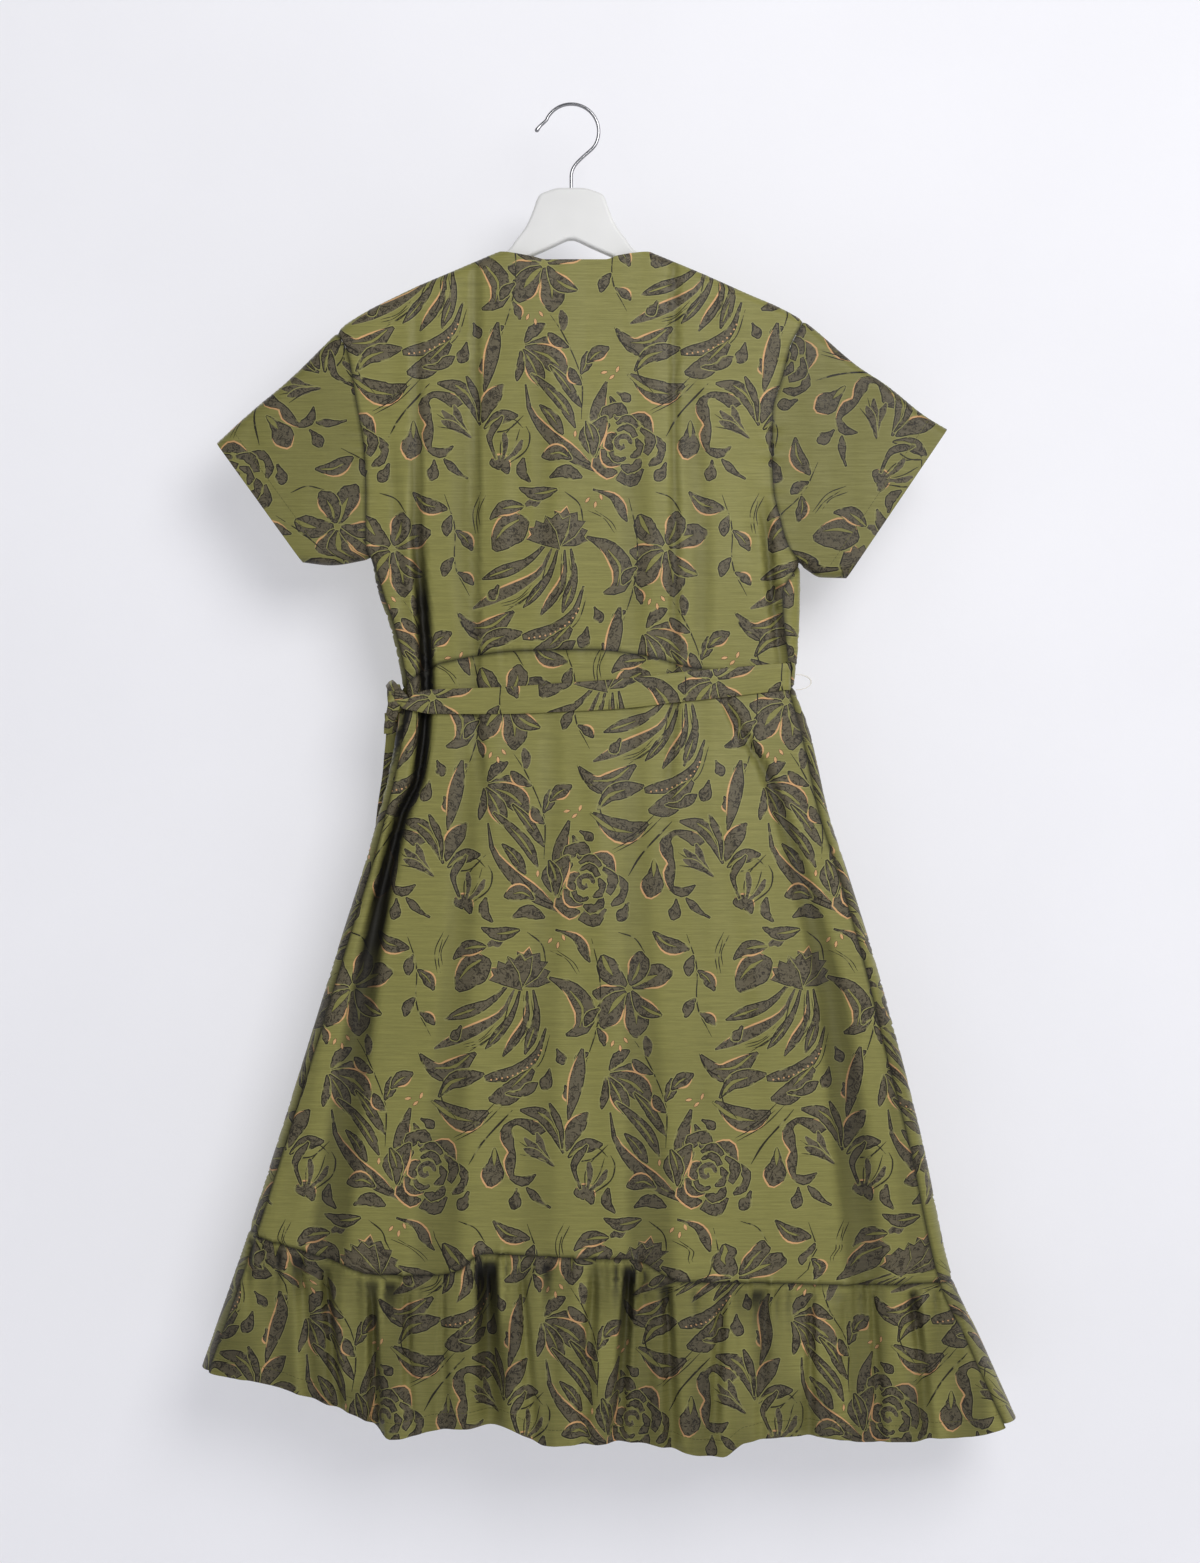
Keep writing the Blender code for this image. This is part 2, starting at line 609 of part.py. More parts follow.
def make_sleeve(side, collection):
    """A flattened tube from the armhole seam to the open cuff, folded along its top edge."""
    shoulder, underarm, cuff_top, cuff_foot = (table[side] for table in
                                               (SHOULDER_END, UNDERARM, CUFF_TOP, CUFF_FOOT))
    share = np.array(UPPER_SHARES)
    seam_z = blend(shoulder.z, underarm.z, share)
    ease = SEAM_GAP / 2 + SEAM_EASE * smooth_step((share - EASE_FROM) / (1 - EASE_FROM))
    seam_x = ARMHOLE[side](seam_z) + outward(side) * ease
    cuff_x = blend(cuff_top.x, cuff_foot.x, share)
    cuff_z = blend(cuff_top.z, cuff_foot.z, share)
    rings = {1: [], -1: []}
    for out in CUFF_SHARES:
        top_x, foot_x = blend(seam_x[0], cuff_top.x, out), blend(seam_x[-1], cuff_foot.x, out)
        top_z, foot_z = TOP_EDGE(top_x), UNDER_SLEEVE[side](foot_x)
        straight_top, straight_foot = blend(shoulder.z, cuff_top.z, out), blend(underarm.z, cuff_foot.z, out)
        x = blend(seam_x, cuff_x, out)
        z = (blend(seam_z, cuff_z, out) + (1 - share) * (top_z - straight_top)
             + share * (foot_z - straight_foot))
        for skin, lift in ((1, 0.0), (-1, -WALL)):
            back = cloth(x, z, BACK, lift, wraps=False)
            front = cloth(x, z, FRONT, lift, wraps=False)
            rings[skin].append(np.concatenate((back, front[-2:0:-1])))
    wall("sleeve_" + side, np.array(rings[1]), np.array(rings[-1]), collection, ring=True)


# ---------------------------------------------------------------- the belt, its knot and its tails

BELT_THICK = 2.0        # a tube of cloth, pressed flat
BELT_CLEAR = 1.2        # between the belt and the dress
BELT_OUT = BELT_THICK + BELT_CLEAR
TIE_BELOW = 0.2         # inside the side the tie lies a little below the under front's level
SLIT_WIDTH = 6.6
SLIT_HEIGHT = 31.0
SLIT_DEPTH = 9.0
SLIT_Z = -556.0

BeltRow = namedtuple("BeltRow", "across middle width lift")
BELT_START = 27.0       # the under tie begins here, this far round the right side, at the under front


def belt_round_right():
    """The under front's tie: inside round the right side, then out through the slit."""
    right = float(SIDE["right"](SLIT_Z))
    seam = right - float(SEAM_INSET["right"](SLIT_Z))
    inside = -LAYER_DROP - TIE_BELOW
    return [BeltRow(right + BELT_START, -556, 26, inside), BeltRow(right + 20, -556, 26, inside),
            BeltRow(right + 11, -556, 26, inside), BeltRow(right + 3.2, -556, 26, inside),
            BeltRow(right, -556, 26, inside), BeltRow(seam + 2.6, -556, 26, -1.9),
            BeltRow(seam - 2.6, -556, 26, BELT_OUT), BeltRow(right - 11, -556, 26, BELT_OUT)]


# across, middle, width and lift along the back, right to left
BELT_BACK = columns("middle width lift", [
    (-161, -580, 20, BELT_OUT + 1.6), (-150, -581, 23, BELT_OUT + 1.0), (-69, -579.5, 26, BELT_OUT),
    (-11, -576.5, 28, BELT_OUT), (47, -573, 29, BELT_OUT), (105, -566.5, 29, BELT_OUT),
    (163, -560.5, 28, BELT_OUT), (207, -556, 26, BELT_OUT)])
BELT_BACK_STEPS = 18
BELT_BACK_END = -161.0
BELT_FRONT = [BeltRow(-137.4, -560, 24, 0.4), BeltRow(-142, -562, 24, 1.0),
              BeltRow(-150, -566, 23, BELT_OUT), BeltRow(-156, -570, 21, BELT_OUT),
              BeltRow(-160.5, -573, 19, BELT_OUT)]
KNOT_CENTRE = (-172.6, -1.0, -577.0)
KNOT_RADII = (5.4, 13.0, 13.5)

TailRow = namedtuple("TailRow", "z x_outer width y")
TAILS = {
    "tie_tail_outer": [TailRow(-591.5, -180, 11, 3), TailRow(-612, -181, 13, 13.5),
                       TailRow(-640, -184.5, 20, 19), TailRow(-690, -192, 26, 22.5),
                       TailRow(-760, -199, 26, 25.5), TailRow(-840, -206, 26, 29),
                       TailRow(-900, -210, 26, 32)],
    "tie_tail_inner": [TailRow(-590.5, -174, 9, 14), TailRow(-615, -168, 15, 20),
                       TailRow(-650, -163.5, 23, 23), TailRow(-700, -163, 25, 26.5),
                       TailRow(-780, -166, 25, 31), TailRow(-846, -170, 25, 34)],
}
TAIL_STEPS = 12


def strap(name, rows, face, collection):
    """A flat band over the cloth, from rows of its middle line."""
    across = np.array([[row.across] * 3 for row in rows])
    z = np.array([[row.middle + share * row.width for share in (0.5, 0, -0.5)] for row in rows])
    lift = np.array([[row.lift] * 3 for row in rows])
    outer = cloth(across, z, face, lift, folded=False)
    inner = cloth(across, z, face, lift - BELT_THICK, folded=False)
    return wall(name, outer, inner, collection)


def make_belt(collection):
    right_rows = belt_round_right()
    rows = right_rows + [BeltRow(x, BELT_BACK.middle(x), BELT_BACK.width(x), BELT_BACK.lift(x))
                         for x in np.linspace(right_rows[-1].across, BELT_BACK_END, BELT_BACK_STEPS)[1:]]
    strap("belt_back", rows, BACK, collection)
    strap("belt_front", BELT_FRONT, FRONT, collection)
    for name, tail_rows in TAILS.items():
        course = columns("x_outer width y", tail_rows)
        z = np.linspace(tail_rows[0].z, tail_rows[-1].z, TAIL_STEPS)
        skins = []
        for shift in (BELT_THICK / 2, -BELT_THICK / 2):
            edges = [np.stack((course.x_outer(z) + share * course.width(z), course.y(z) + shift, z), axis=-1)
                     for share in (0, 0.5, 1)]
            skins.append(np.stack(edges, axis=1))
        wall(name, skins[0], skins[1], collection)
    bpy.ops.mesh.primitive_uv_sphere_add(segments=14, ring_count=8, radius=1)
    knot = bpy.context.object
    knot.name = "tie_knot"
    for vertex in knot.data.vertices:
        vertex.co = [(centre + radius * part) * MM
                     for centre, radius, part in zip(KNOT_CENTRE, KNOT_RADII, vertex.co)]
    knot.data.materials.append(material("printed_satin"))
    knot.data.shade_smooth()
    for holder in list(knot.users_collection):
        holder.objects.unlink(knot)
    collection.objects.link(knot)


def cut_slit(made):
    """The slit in the right side seam that lets the under front's tie out."""
    seam = float(SIDE["right"](SLIT_Z)) - float(SEAM_INSET["right"](SLIT_Z))
    outside = float(cloth(seam, SLIT_Z, BACK)[1])
    bpy.ops.mesh.primitive_cube_add(size=1, location=(seam * MM, outside * MM, SLIT_Z * MM))
    cutter = bpy.context.object
    cutter.name = "slit_cutter"
    cutter.dimensions = (SLIT_WIDTH * MM, SLIT_DEPTH * MM, SLIT_HEIGHT * MM)
    cutter.hide_render = True
    cutter.display_type = "WIRE"
    for holder in list(cutter.users_collection):
        holder.objects.unlink(cutter)
    made["cutters"].objects.link(cutter)
    for name in ("back_bodice", "back_skirt", "front_bodice_over", "front_skirt_over"):
        cut = bpy.data.objects[name].modifiers.new("slit", "BOOLEAN")
        cut.object = cutter


# ---------------------------------------------------------------- the hanging loop at the right side

LOOP_THICK = 1.0
LOOP_WIDTH = 5.0
LOOP_REACH = 15.0
LOOP_HALF_HEIGHT = 8.0
LOOP_MIDDLE = (218.6, -5.0, -561.0)
LOOP_STEPS = 10


def make_loop(collection):
    """A narrow tape bent into a U that stands out of the side seam."""
    angles = np.linspace(-math.pi / 2, math.pi / 2, LOOP_STEPS)
    skins = []
    for shrink in (0, LOOP_THICK):
        x = LOOP_MIDDLE[0] + (LOOP_REACH - shrink) * np.cos(angles)
        z = LOOP_MIDDLE[2] + (LOOP_HALF_HEIGHT - shrink) * np.sin(angles)
        edges = [np.stack((x, np.full_like(x, LOOP_MIDDLE[1] + part * LOOP_WIDTH), z), axis=-1)
                 for part in (-0.5, 0.5)]
        skins.append(np.stack(edges, axis=1))
    wall("hanging_loop", skins[0], skins[1], collection, finish="clear_tape")


# ---------------------------------------------------------------- the hanger

HANGER_HALF_THICK = 6.0
HANGER_BEVEL = 2.5
HANGER_TOP = -80.5
WIRE = 3.4
HOOK_RADIUS = 26.7      # of the wire's middle line, so that the inner top is the origin
HOOK_START = 158.0      # degrees round the hook, from +X, where its open end begins
HOOK_END = -28.0
HOOK_STEPS = 22
HOOK_TIP = (-33.5, -24.0)
SHAFT_BEND = [(14.5, -45.0), (8.2, -50.6), (3.2, -56.5), (0.6, -62.5), (0, -68)]
SHAFT_FOOT = -80.1
TIP_FLARE = 1.3

# x, z of the hanger's right half, from the top of its neck round to the middle of its under edge
HANGER_OUTLINE = [(0, HANGER_TOP), (14, -80.5), (18.4, -82), (29, -86), (33.5, -91), (36.5, -100.5),
                  (43.5, -117), (53, -130), (60, -141), (71.5, -149), (107, -162.5), (147.8, -180),
                  (180, -196), (203, -210.5), (211, -218), (212.5, -226), (205, -231.5), (190, -228),
                  (147.8, -206), (107, -184), (71.5, -164), (43.5, -149.2), (20, -138.6), (6, -132),
                  (0, -130.6)]


def make_hanger(collection):
    outline = HANGER_OUTLINE + [(-x, z) for x, z in HANGER_OUTLINE[-2:0:-1]]
    curve = bpy.data.curves.new("hanger_body", "CURVE")
    curve.dimensions = "2D"
    curve.fill_mode = "BOTH"
    curve.extrude = (HANGER_HALF_THICK - HANGER_BEVEL) * MM
    curve.bevel_depth = HANGER_BEVEL * MM
    curve.offset = -HANGER_BEVEL * MM
    curve.bevel_resolution = 1
    spline = curve.splines.new("POLY")
    spline.points.add(len(outline) - 1)
    for point, (x, z) in zip(spline.points, outline):
        point.co = (x * MM, z * MM, 0, 1)
    spline.use_cyclic_u = True
    body = place("hanger_body", curve, "painted_wood", collection)
    body.rotation_euler = (math.pi / 2, 0, 0)

    centre_z = WIRE / 2 - HOOK_RADIUS
    course = [HOOK_TIP, (-30.6, -20.4)]
    for step in range(HOOK_STEPS + 1):
        angle = math.radians(blend(HOOK_START, HOOK_END, step / HOOK_STEPS))
        course.append((HOOK_RADIUS * math.cos(angle), centre_z + HOOK_RADIUS * math.sin(angle)))
    course += SHAFT_BEND + [(0, SHAFT_FOOT)]
    wire = bpy.data.curves.new("hanger_hook", "CURVE")
    wire.dimensions = "3D"
    wire.bevel_depth = WIRE / 2 * MM
    wire.bevel_resolution = 2
    wire.use_fill_caps = True
    spline = wire.splines.new("POLY")
    spline.points.add(len(course) - 1)
    for point, (x, z) in zip(spline.points, course):
        point.co = (x * MM, 0, z * MM, 1)
    spline.points[0].radius = TIP_FLARE
    place("hanger_hook", wire, "chrome", collection)


def main():
    made = start_scene()
    dress = made["wrap_dress"]
    make_back(dress)
    make_front(dress)
    for side in ("left", "right"):
        make_sleeve(side, dress)
    make_belt(dress)
    cut_slit(made)
    make_loop(dress)
    make_hanger(dress)


if __name__ == "__main__":
    main()
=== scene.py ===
"""The looks of a wrap dress on its hanger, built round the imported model.

Every table and size below is in millimetres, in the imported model's frame: +Z up, the origin at the inner
top of the hook, the back of the dress towards -Y.  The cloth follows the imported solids' form.  Each sewn
piece is triangulated flat together with its printed flowers, then laid on that form as a thin shell.
"""
import math
from collections import namedtuple

import bpy
import numpy as np
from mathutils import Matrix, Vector
from mathutils.geometry import delaunay_2d_cdt


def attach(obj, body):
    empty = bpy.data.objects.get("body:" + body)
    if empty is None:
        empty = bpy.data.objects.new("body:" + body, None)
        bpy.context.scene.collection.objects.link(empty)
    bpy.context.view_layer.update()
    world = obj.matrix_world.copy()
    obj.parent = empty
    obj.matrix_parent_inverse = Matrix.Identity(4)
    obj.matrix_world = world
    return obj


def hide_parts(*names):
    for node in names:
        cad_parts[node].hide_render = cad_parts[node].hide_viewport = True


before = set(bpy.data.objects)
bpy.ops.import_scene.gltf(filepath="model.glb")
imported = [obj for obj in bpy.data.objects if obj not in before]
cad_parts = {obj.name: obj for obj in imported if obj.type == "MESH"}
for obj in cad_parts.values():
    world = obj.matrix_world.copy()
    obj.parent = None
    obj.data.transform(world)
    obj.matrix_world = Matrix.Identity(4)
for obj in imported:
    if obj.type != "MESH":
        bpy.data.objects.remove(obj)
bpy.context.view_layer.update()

MM = 0.001
SEAM_GAP = 0.3          # between neighbouring pieces
LAYER_DROP = 4.2        # how far the under front lies below the over front
LAYER_RAMP = 20.0
LAYER_LEAD = 26.0
NORMAL_STEP = 0.4
THICK = 0.9             # cloth with its turned edges
BACK = -1
FRONT = 1


class Line:
    """A smooth curve without overshoot through the rows (key, value), level beyond its ends."""

    def __init__(self, *rows):
        table = np.array(sorted(rows), dtype=float)
        self.keys = table[:, 0]
        self.values = table[:, 1]
        slope = np.diff(self.values) / np.diff(self.keys)
        self.tangents = np.concatenate((slope[:1], np.zeros(len(table) - 2), slope[-1:]))
        for row in range(1, len(table) - 1):
            before, after = slope[row - 1], slope[row]
            if before * after > 0:
                self.tangents[row] = 2 * before * after / (before + after)

    def __call__(self, key):
        key = np.clip(key, self.keys[0], self.keys[-1])
        span = np.clip(np.searchsorted(self.keys, key) - 1, 0, len(self.keys) - 2)
        width = self.keys[span + 1] - self.keys[span]
        t = (key - self.keys[span]) / width
        return (self.values[span] * (1 + 2 * t) * (1 - t) ** 2
                + self.values[span + 1] * t * t * (3 - 2 * t)
                + self.tangents[span] * width * t * (1 - t) ** 2
                + self.tangents[span + 1] * width * t * t * (t - 1))

    def lean(self, key):
        """The factor from a distance along the value's axis to one square to the curve."""
        slope = (self(key + NORMAL_STEP) - self(key - NORMAL_STEP)) / (2 * NORMAL_STEP)
        return 1 / np.sqrt(1 + slope * slope)


def columns(names, rows):
    """One Line for each column of a table whose first column is the key."""
    return namedtuple("Lines", names)(*(Line(*((row[0], row[i]) for row in rows))
                                        for i in range(1, len(rows[0]))))


def smooth_step(value):
    t = np.clip(value, 0, 1)
    return t * t * (3 - 2 * t)


def blend(start, end, share):
    return start + (end - start) * share


def pairs(a, b):
    return np.stack((a, b), axis=1)


def way_at(angle):
    """The unit vector at an angle from x."""
    return np.array((math.cos(angle), math.sin(angle)))


def left_of(way):
    return np.array((-way[1], way[0]))


def unit(vectors):
    return vectors / (np.linalg.norm(vectors, axis=1, keepdims=True) + 1e-9)


def reach_of(points):
    """Each point's distance from the first, along them."""
    return np.concatenate(((0,), np.cumsum(np.linalg.norm(np.diff(points, axis=0), axis=1))))


def cubic(a, b, c, d, s):
    """Between b and c, on the smooth curve through four points."""
    return 0.5 * (2 * b + (c - a) * s + (2 * a - 5 * b + 4 * c - d) * s * s
                  + (3 * b - a - 3 * c + d) * s ** 3)


def put(name, data):
    """A new object in the scene."""
    thing = bpy.data.objects.new(name, data)
    bpy.context.scene.collection.objects.link(thing)
    return thing


# ---------------------------------------------------------------- the outline, seen from behind

Corner = namedtuple("Corner", "x z")
SHOULDER_END = {"left": Corner(-228, -221), "right": Corner(226, -209.6)}
UNDERARM = {"left": Corner(-196, -441.5), "right": Corner(222.5, -447)}
CUFF_TOP = {"left": Corner(-344.9, -328.4), "right": Corner(365.6, -314.9)}
CUFF_FOOT = {"left": Corner(-261.2, -444.4), "right": Corner(267.6, -459.8)}
NECK_POINT = {"left": Corner(-71.5, -142.5), "right": Corner(77.3, -142.5)}

# x, z of the fold over the shoulders and along the sleeves; it rises over the open neck
TOP_EDGE = Line(CUFF_TOP["left"], (-311, -297.5), (-273.4, -265.7), SHOULDER_END["left"], (-219, -212.5),
                (-165.2, -183), (-107, -157.5), NECK_POINT["left"], (0, -112), NECK_POINT["right"],
                (127.5, -163.3), (172.9, -183.5), (201.9, -196), SHOULDER_END["right"], (278.2, -253),
                (307.2, -272.4), (344.9, -302.4), CUFF_TOP["right"])
NECK_EDGE = Line(NECK_POINT["left"], (-36.7, -148.8), (-25, -151.6), (34, -151.4), (45.4, -147.6),
                 NECK_POINT["right"])

# x, z of the sleeves' under edges
UNDER_SLEEVE = {
    "left": Line(CUFF_FOOT["left"], (-233.8, -447.3), UNDERARM["left"]),
    "right": Line(UNDERARM["right"], (228, -451), (242.5, -458.9), CUFF_FOOT["right"]),
}

# z, x of the sides from the underarm to below the hem
SIDE = {
    "left": Line((-441.5, -196), (-476, -187.5), (-504, -177.7), (-544, -168), (-562, -165), (-600, -169),
                 (-650, -178), (-690, -188), (-731, -199), (-804, -222), (-1092.5, -313), (-1224, -358.4),
                 (-1310, -388)),
    "right": Line((-447, 222.5), (-477, 223), (-530, 221), (-564, 217.4), (-593, 227), (-616, 234),
                  (-684, 249.2), (-747.7, 269.5), (-825, 293.7), (-912, 317.8), (-1008.5, 342),
                  (-1139.9, 370.9), (-1192, 395), (-1274, 431.8), (-1310, 448)),
}

# z, x of the armhole seams, shoulder to underarm
ARMHOLE = {
    "left": Line(SHOULDER_END["left"][::-1], (-240.5, -217.3), (-287, -208.7), (-337, -200.8),
                 (-379.6, -199), (-421, -199.4), UNDERARM["left"][::-1]),
    "right": Line(SHOULDER_END["right"][::-1], (-235, 213), (-265.7, 204.8), (-299.5, 195.6),
                  (-347.8, 195.1), (-374.8, 196.5), (-400, 202), (-425, 209), UNDERARM["right"][::-1]),
}

# z, distance of the side seams behind the sides
SEAM_INSET = {
    "left": Line((-441.5, 0), (-470, 4.5), (-565, 4.5), (-620, 7), (-1140, 9), (-1310, 9)),
    "right": Line((-447, 0), (-475, 18), (-520, 14), (-566, 5), (-600, 9), (-750, 10), (-940, 15),
                  (-1310, 15)),
}

# x, z of the seams that cross the body, and of the hem
WAIST_SEAM = Line((-166, -566), (-136, -547), (-126.5, -543), (-49, -531.3), (18, -530.3), (66.7, -535),
                  (115, -546.8), (136, -550.6), (218, -566))
RUFFLE_SEAM = {
    BACK: Line((-313, -1092.5), (-261.8, -1108), (-220, -1121.5), (-192, -1130), (-135, -1131),
               (-108, -1125), (-86, -1109), (0, -1112), (55, -1113), (104, -1135), (206, -1138),
               (287, -1141.8), (371, -1140)),
    FRONT: Line((-313, -1092.5), (-250, -1110), (-150, -1126), (0, -1130), (150, -1137), (371, -1140)),
}
HEM = {
    BACK: Line((-358.4, -1224), (-285, -1236.5), (-246, -1250), (-190, -1272), (-172, -1285), (-120, -1275),
               (-66.7, -1272), (-20, -1289), (50, -1286), (145, -1300), (165, -1287), (220, -1281),
               (287, -1289.6), (389, -1284.8), (431.8, -1274)),
    FRONT: Line((-358.4, -1224), (-280, -1240), (-180, -1262), (-60, -1270), (60, -1276), (180, -1284),
                (300, -1284), (431.8, -1274)),
}

# z, x of the fronts' free edges: the wrap's neckline, then the opening down the skirt
OVER_EDGE = Line((-142.5, 77.3), (-240, 52), (-340, 18), (-430, -30), (-500, -85), (-547, -135),
                 (-700, -139), (-1140, -160), (-1310, -172))
UNDER_EDGE = Line((-142.5, -71.5), (-240, -46), (-340, -12), (-430, 38), (-500, 98), (-535, 145),
                  (-560, 188), (-700, 192), (-1140, 215), (-1310, 225))

# the over front starts at the right side and the under front at the left
FREE_EDGE = {"right": OVER_EDGE, "left": UNDER_EDGE}

# ---------------------------------------------------------------- the thickness and the folds

SECTIONS = columns("roll half_edge crown_back crown_front", [
    # z, width of the rolled edge, half thickness inside it, crown of the back, crown of the front
    (-112, 10, 10, 0, 0),
    (-165, 10, 10, 0.5, 0.5),
    (-220, 10, 10.5, 3, 4),
    (-330, 10.5, 11, 9, 13),
    (-441, 11, 12, 12, 17),
    (-565, 11, 12, 9, 12),
    (-700, 14, 17, 14, 16),
    (-1000, 20, 26, 20, 24),
    (-1140, 22, 28, 22, 26),
    (-1310, 24, 31, 24, 28),
])


def fold_lines(*rows):
    """A fold's middle x, half width and depth, over z."""
    return columns("x half_width depth", rows)


FOLDS = {BACK: {
    "left side": fold_lines((-180, -151, 9, 0), (-230, -150, 9, 2), (-300, -149, 9, 3), (-400, -150, 10, 5),
                            (-450, -147, 10, 8), (-500, -143.5, 11, 11), (-565, -140, 11, 12),
                            (-589, -141, 10, 12), (-653, -148, 11, 13), (-690, -164, 12, 14),
                            (-759, -181, 14, 13), (-815, -192, 17, 10), (-900, -205, 22, 7),
                            (-1140, -238, 30, 5)),
    "right hip": fold_lines((-555, 144, 8, 0), (-580, 149.7, 8, 2), (-613, 167, 9, 4), (-645, 186.4, 10, 5),
                            (-690, 203, 12, 5), (-748, 221, 16, 5), (-864, 250, 22, 6),
                            (-1008, 269.5, 28, 6), (-1140, 285, 30, 5)),
    "right side": fold_lines((-375, 184, 9, 0), (-420, 190, 9, 5), (-475, 195, 8, 6), (-540, 203, 8, 3),
                             (-565, 205, 8, 0)),
    "left back": fold_lines((-250, -96, 16, 0), (-400, -103, 18, 2.5), (-560, -98, 16, 2),
                            (-1140, -130, 34, 4)),
    "right back": fold_lines((-250, 60, 18, 0), (-420, 62, 20, 2.5), (-560, 60, 16, 1.5),
                             (-1140, 78, 36, 5)),
}, FRONT: {
    "over bust": fold_lines((-260, 142, 16, 0), (-400, 128, 20, 3), (-545, 96, 16, 2), (-590, 92, 16, 2),
                            (-800, 112, 26, 5), (-1140, 140, 36, 7)),
    "under bust": fold_lines((-260, -135, 16, 0), (-400, -122, 20, 3), (-530, -112, 16, 1),
                             (-560, -112, 16, 0)),
    "centre": fold_lines((-560, 10, 18, 0), (-700, 6, 24, 4), (-900, -4, 32, 6), (-1140, -12, 38, 7)),
    "left thigh": fold_lines((-600, -70, 20, 0), (-800, -84, 26, 4), (-1140, -96, 34, 5)),
    "right thigh": fold_lines((-600, 190, 16, 0), (-800, 222, 26, 4), (-1140, 262, 36, 6)),
}}

RUFFLE_DEPTH = 160.0
RUFFLE_FLARE = 7.0
GATHER_NECK = 0.45      # a gather's width at the seam, as a share of its width at the hem
GATHER_HASTE = 4.0      # how many times faster than the ruffle's depth a gather grows to full
Gather = namedtuple("Gather", "x_seam x_hem half_width depth")
GATHERS = {BACK: [Gather(*row) for row in (
    (-261, -247, 15, 5),
    (-238, -221, 13, 9),
    (-207, -202, 26, 5),
    (-191, -186, 12, 10),
    (-158, -153, 10, 5),
    (-124, -120, 10, 4),
    (-81, -76, 23, 15),
    (-48, -36, 11, 6),
    (24, 13, 14, 7),
    (57, 46, 14, 12),
    (68, 64, 26, 5),
    (92, 97, 13, 8),
    (145, 134, 12, 6),
    (187, 181, 11, 3),
    (231, 227, 11, 6),
    (262, 266, 10, 3),
    (290, 297, 10, 4),
    (329, 345, 12, 7),
)], FRONT: [Gather(*row) for row in (
    (-276, -300, 18, 7),
    (-222, -238, 18, 8),
    (-181, -196, 15, 6),
    (-122, -128, 17, 8),
    (-74, -90, 16, 7),
    (-26, -32, 18, 9),
    (31, 22, 17, 7),
    (70, 76, 16, 8),
    (128, 124, 18, 9),
    (171, 182, 16, 6),
    (224, 235, 18, 9),
    (268, 290, 17, 7),
    (318, 345, 18, 8),
)]}


def distance_inside(x, z):
    """How far a point lies inside the edges where the two layers join; negative outside them."""
    top = (TOP_EDGE(x) - z) * TOP_EDGE.lean(x)
    inside = top
    for side, outward in (("left", -1), ("right", 1)):
        body = outward * (SIDE[side](z) - x) * SIDE[side].lean(z)
        sleeve = (z - UNDER_SLEEVE[side](x)) * UNDER_SLEEVE[side].lean(x)
        inside = np.minimum(inside, np.maximum(body, sleeve))
    return inside


def trough(offset, half_width):
    return 0.5 + 0.5 * np.cos(math.pi * np.clip(np.abs(offset) / half_width, 0, 1))


def ruffle_relief(x, z, face):
    """How far the ruffle stands out: its flare, less its gathers."""
    down = np.clip((RUFFLE_SEAM[face](x) - z) / RUFFLE_DEPTH, 0, 1)
    relief = RUFFLE_FLARE * down
    grown = smooth_step(GATHER_HASTE * down)
    for gather in GATHERS[face]:
        crease = blend(gather.x_seam, gather.x_hem, down)
        width = gather.half_width * blend(GATHER_NECK, 1, down)
        relief = relief - gather.depth * grown * trough(x - crease, width)
    return relief


# soft creases, on top of the main folds: x, half width and depth over z, a ridge where depth is below 0
CREASES = {BACK: [
    fold_lines((-180, -36, 12, 0), (-300, -30, 14, 1.1), (-470, -22, 14, 1.3), (-540, -20, 12, 0.6),
               (-620, -18, 14, 1.0), (-900, -26, 22, 1.6), (-1130, -34, 26, 1.5)),
    fold_lines((-230, 112, 14, 0), (-330, 120, 16, 1.6), (-480, 128, 14, 1.8), (-545, 126, 12, 0.6)),
    fold_lines((-250, -62, 16, 0), (-400, -66, 18, -1.6), (-540, -70, 16, -0.8), (-700, -84, 22, -1.8),
               (-1130, -100, 30, -1.6)),
    fold_lines((-590, -92, 8, 2.6), (-640, -88, 9, 2.6), (-700, -82, 11, 1.2), (-780, -78, 12, 0)),
    fold_lines((-585, 100, 8, 2.6), (-630, 97, 9, 2.4), (-690, 93, 11, 1.0), (-760, 92, 12, 0)),
    fold_lines((-600, 18, 12, 0), (-720, 26, 18, -1.8), (-950, 40, 26, -2.6), (-1130, 48, 30, -2)),
    fold_lines((-640, 150, 14, 0), (-760, 168, 20, -2.4), (-950, 196, 26, -3.0), (-1130, 214, 30, -2)),
    fold_lines((-700, -214, 8, 0), (-800, -236, 12, 2.0), (-1000, -262, 14, 1.5), (-1130, -284, 14, 0)),
    fold_lines((-800, 300, 12, 0), (-930, 312, 16, 2.4), (-1100, 334, 18, 1.8), (-1300, 380, 20, 1)),
    fold_lines((-300, -176, 9, 0), (-380, -170, 10, 1.6), (-470, -164, 9, 1.4), (-540, -154, 8, 0)),
], FRONT: [
    fold_lines((-260, 96, 14, 0), (-400, 84, 16, 1.6), (-540, 66, 14, 1.2), (-560, 62, 12, 0)),
    fold_lines((-260, -90, 14, 0), (-400, -84, 16, 1.6), (-540, -80, 14, 1.2), (-560, -78, 12, 0)),
    fold_lines((-600, 48, 14, 0), (-760, 52, 20, -2.4), (-1130, 62, 30, -2.4)),
    fold_lines((-600, 150, 14, 0), (-760, 166, 20, -2.0), (-1130, 200, 28, -2.2)),
    fold_lines((-620, -40, 14, 0), (-760, -44, 18, -2.0), (-1130, -52, 26, -2.2)),
    fold_lines((-620, 240, 12, 0), (-800, 272, 18, 2.0), (-1130, 312, 22, 2.0)),
    fold_lines((-640, -130, 12, 0), (-800, -150, 18, 2.0), (-1130, -184, 22, 2.0)),
]}

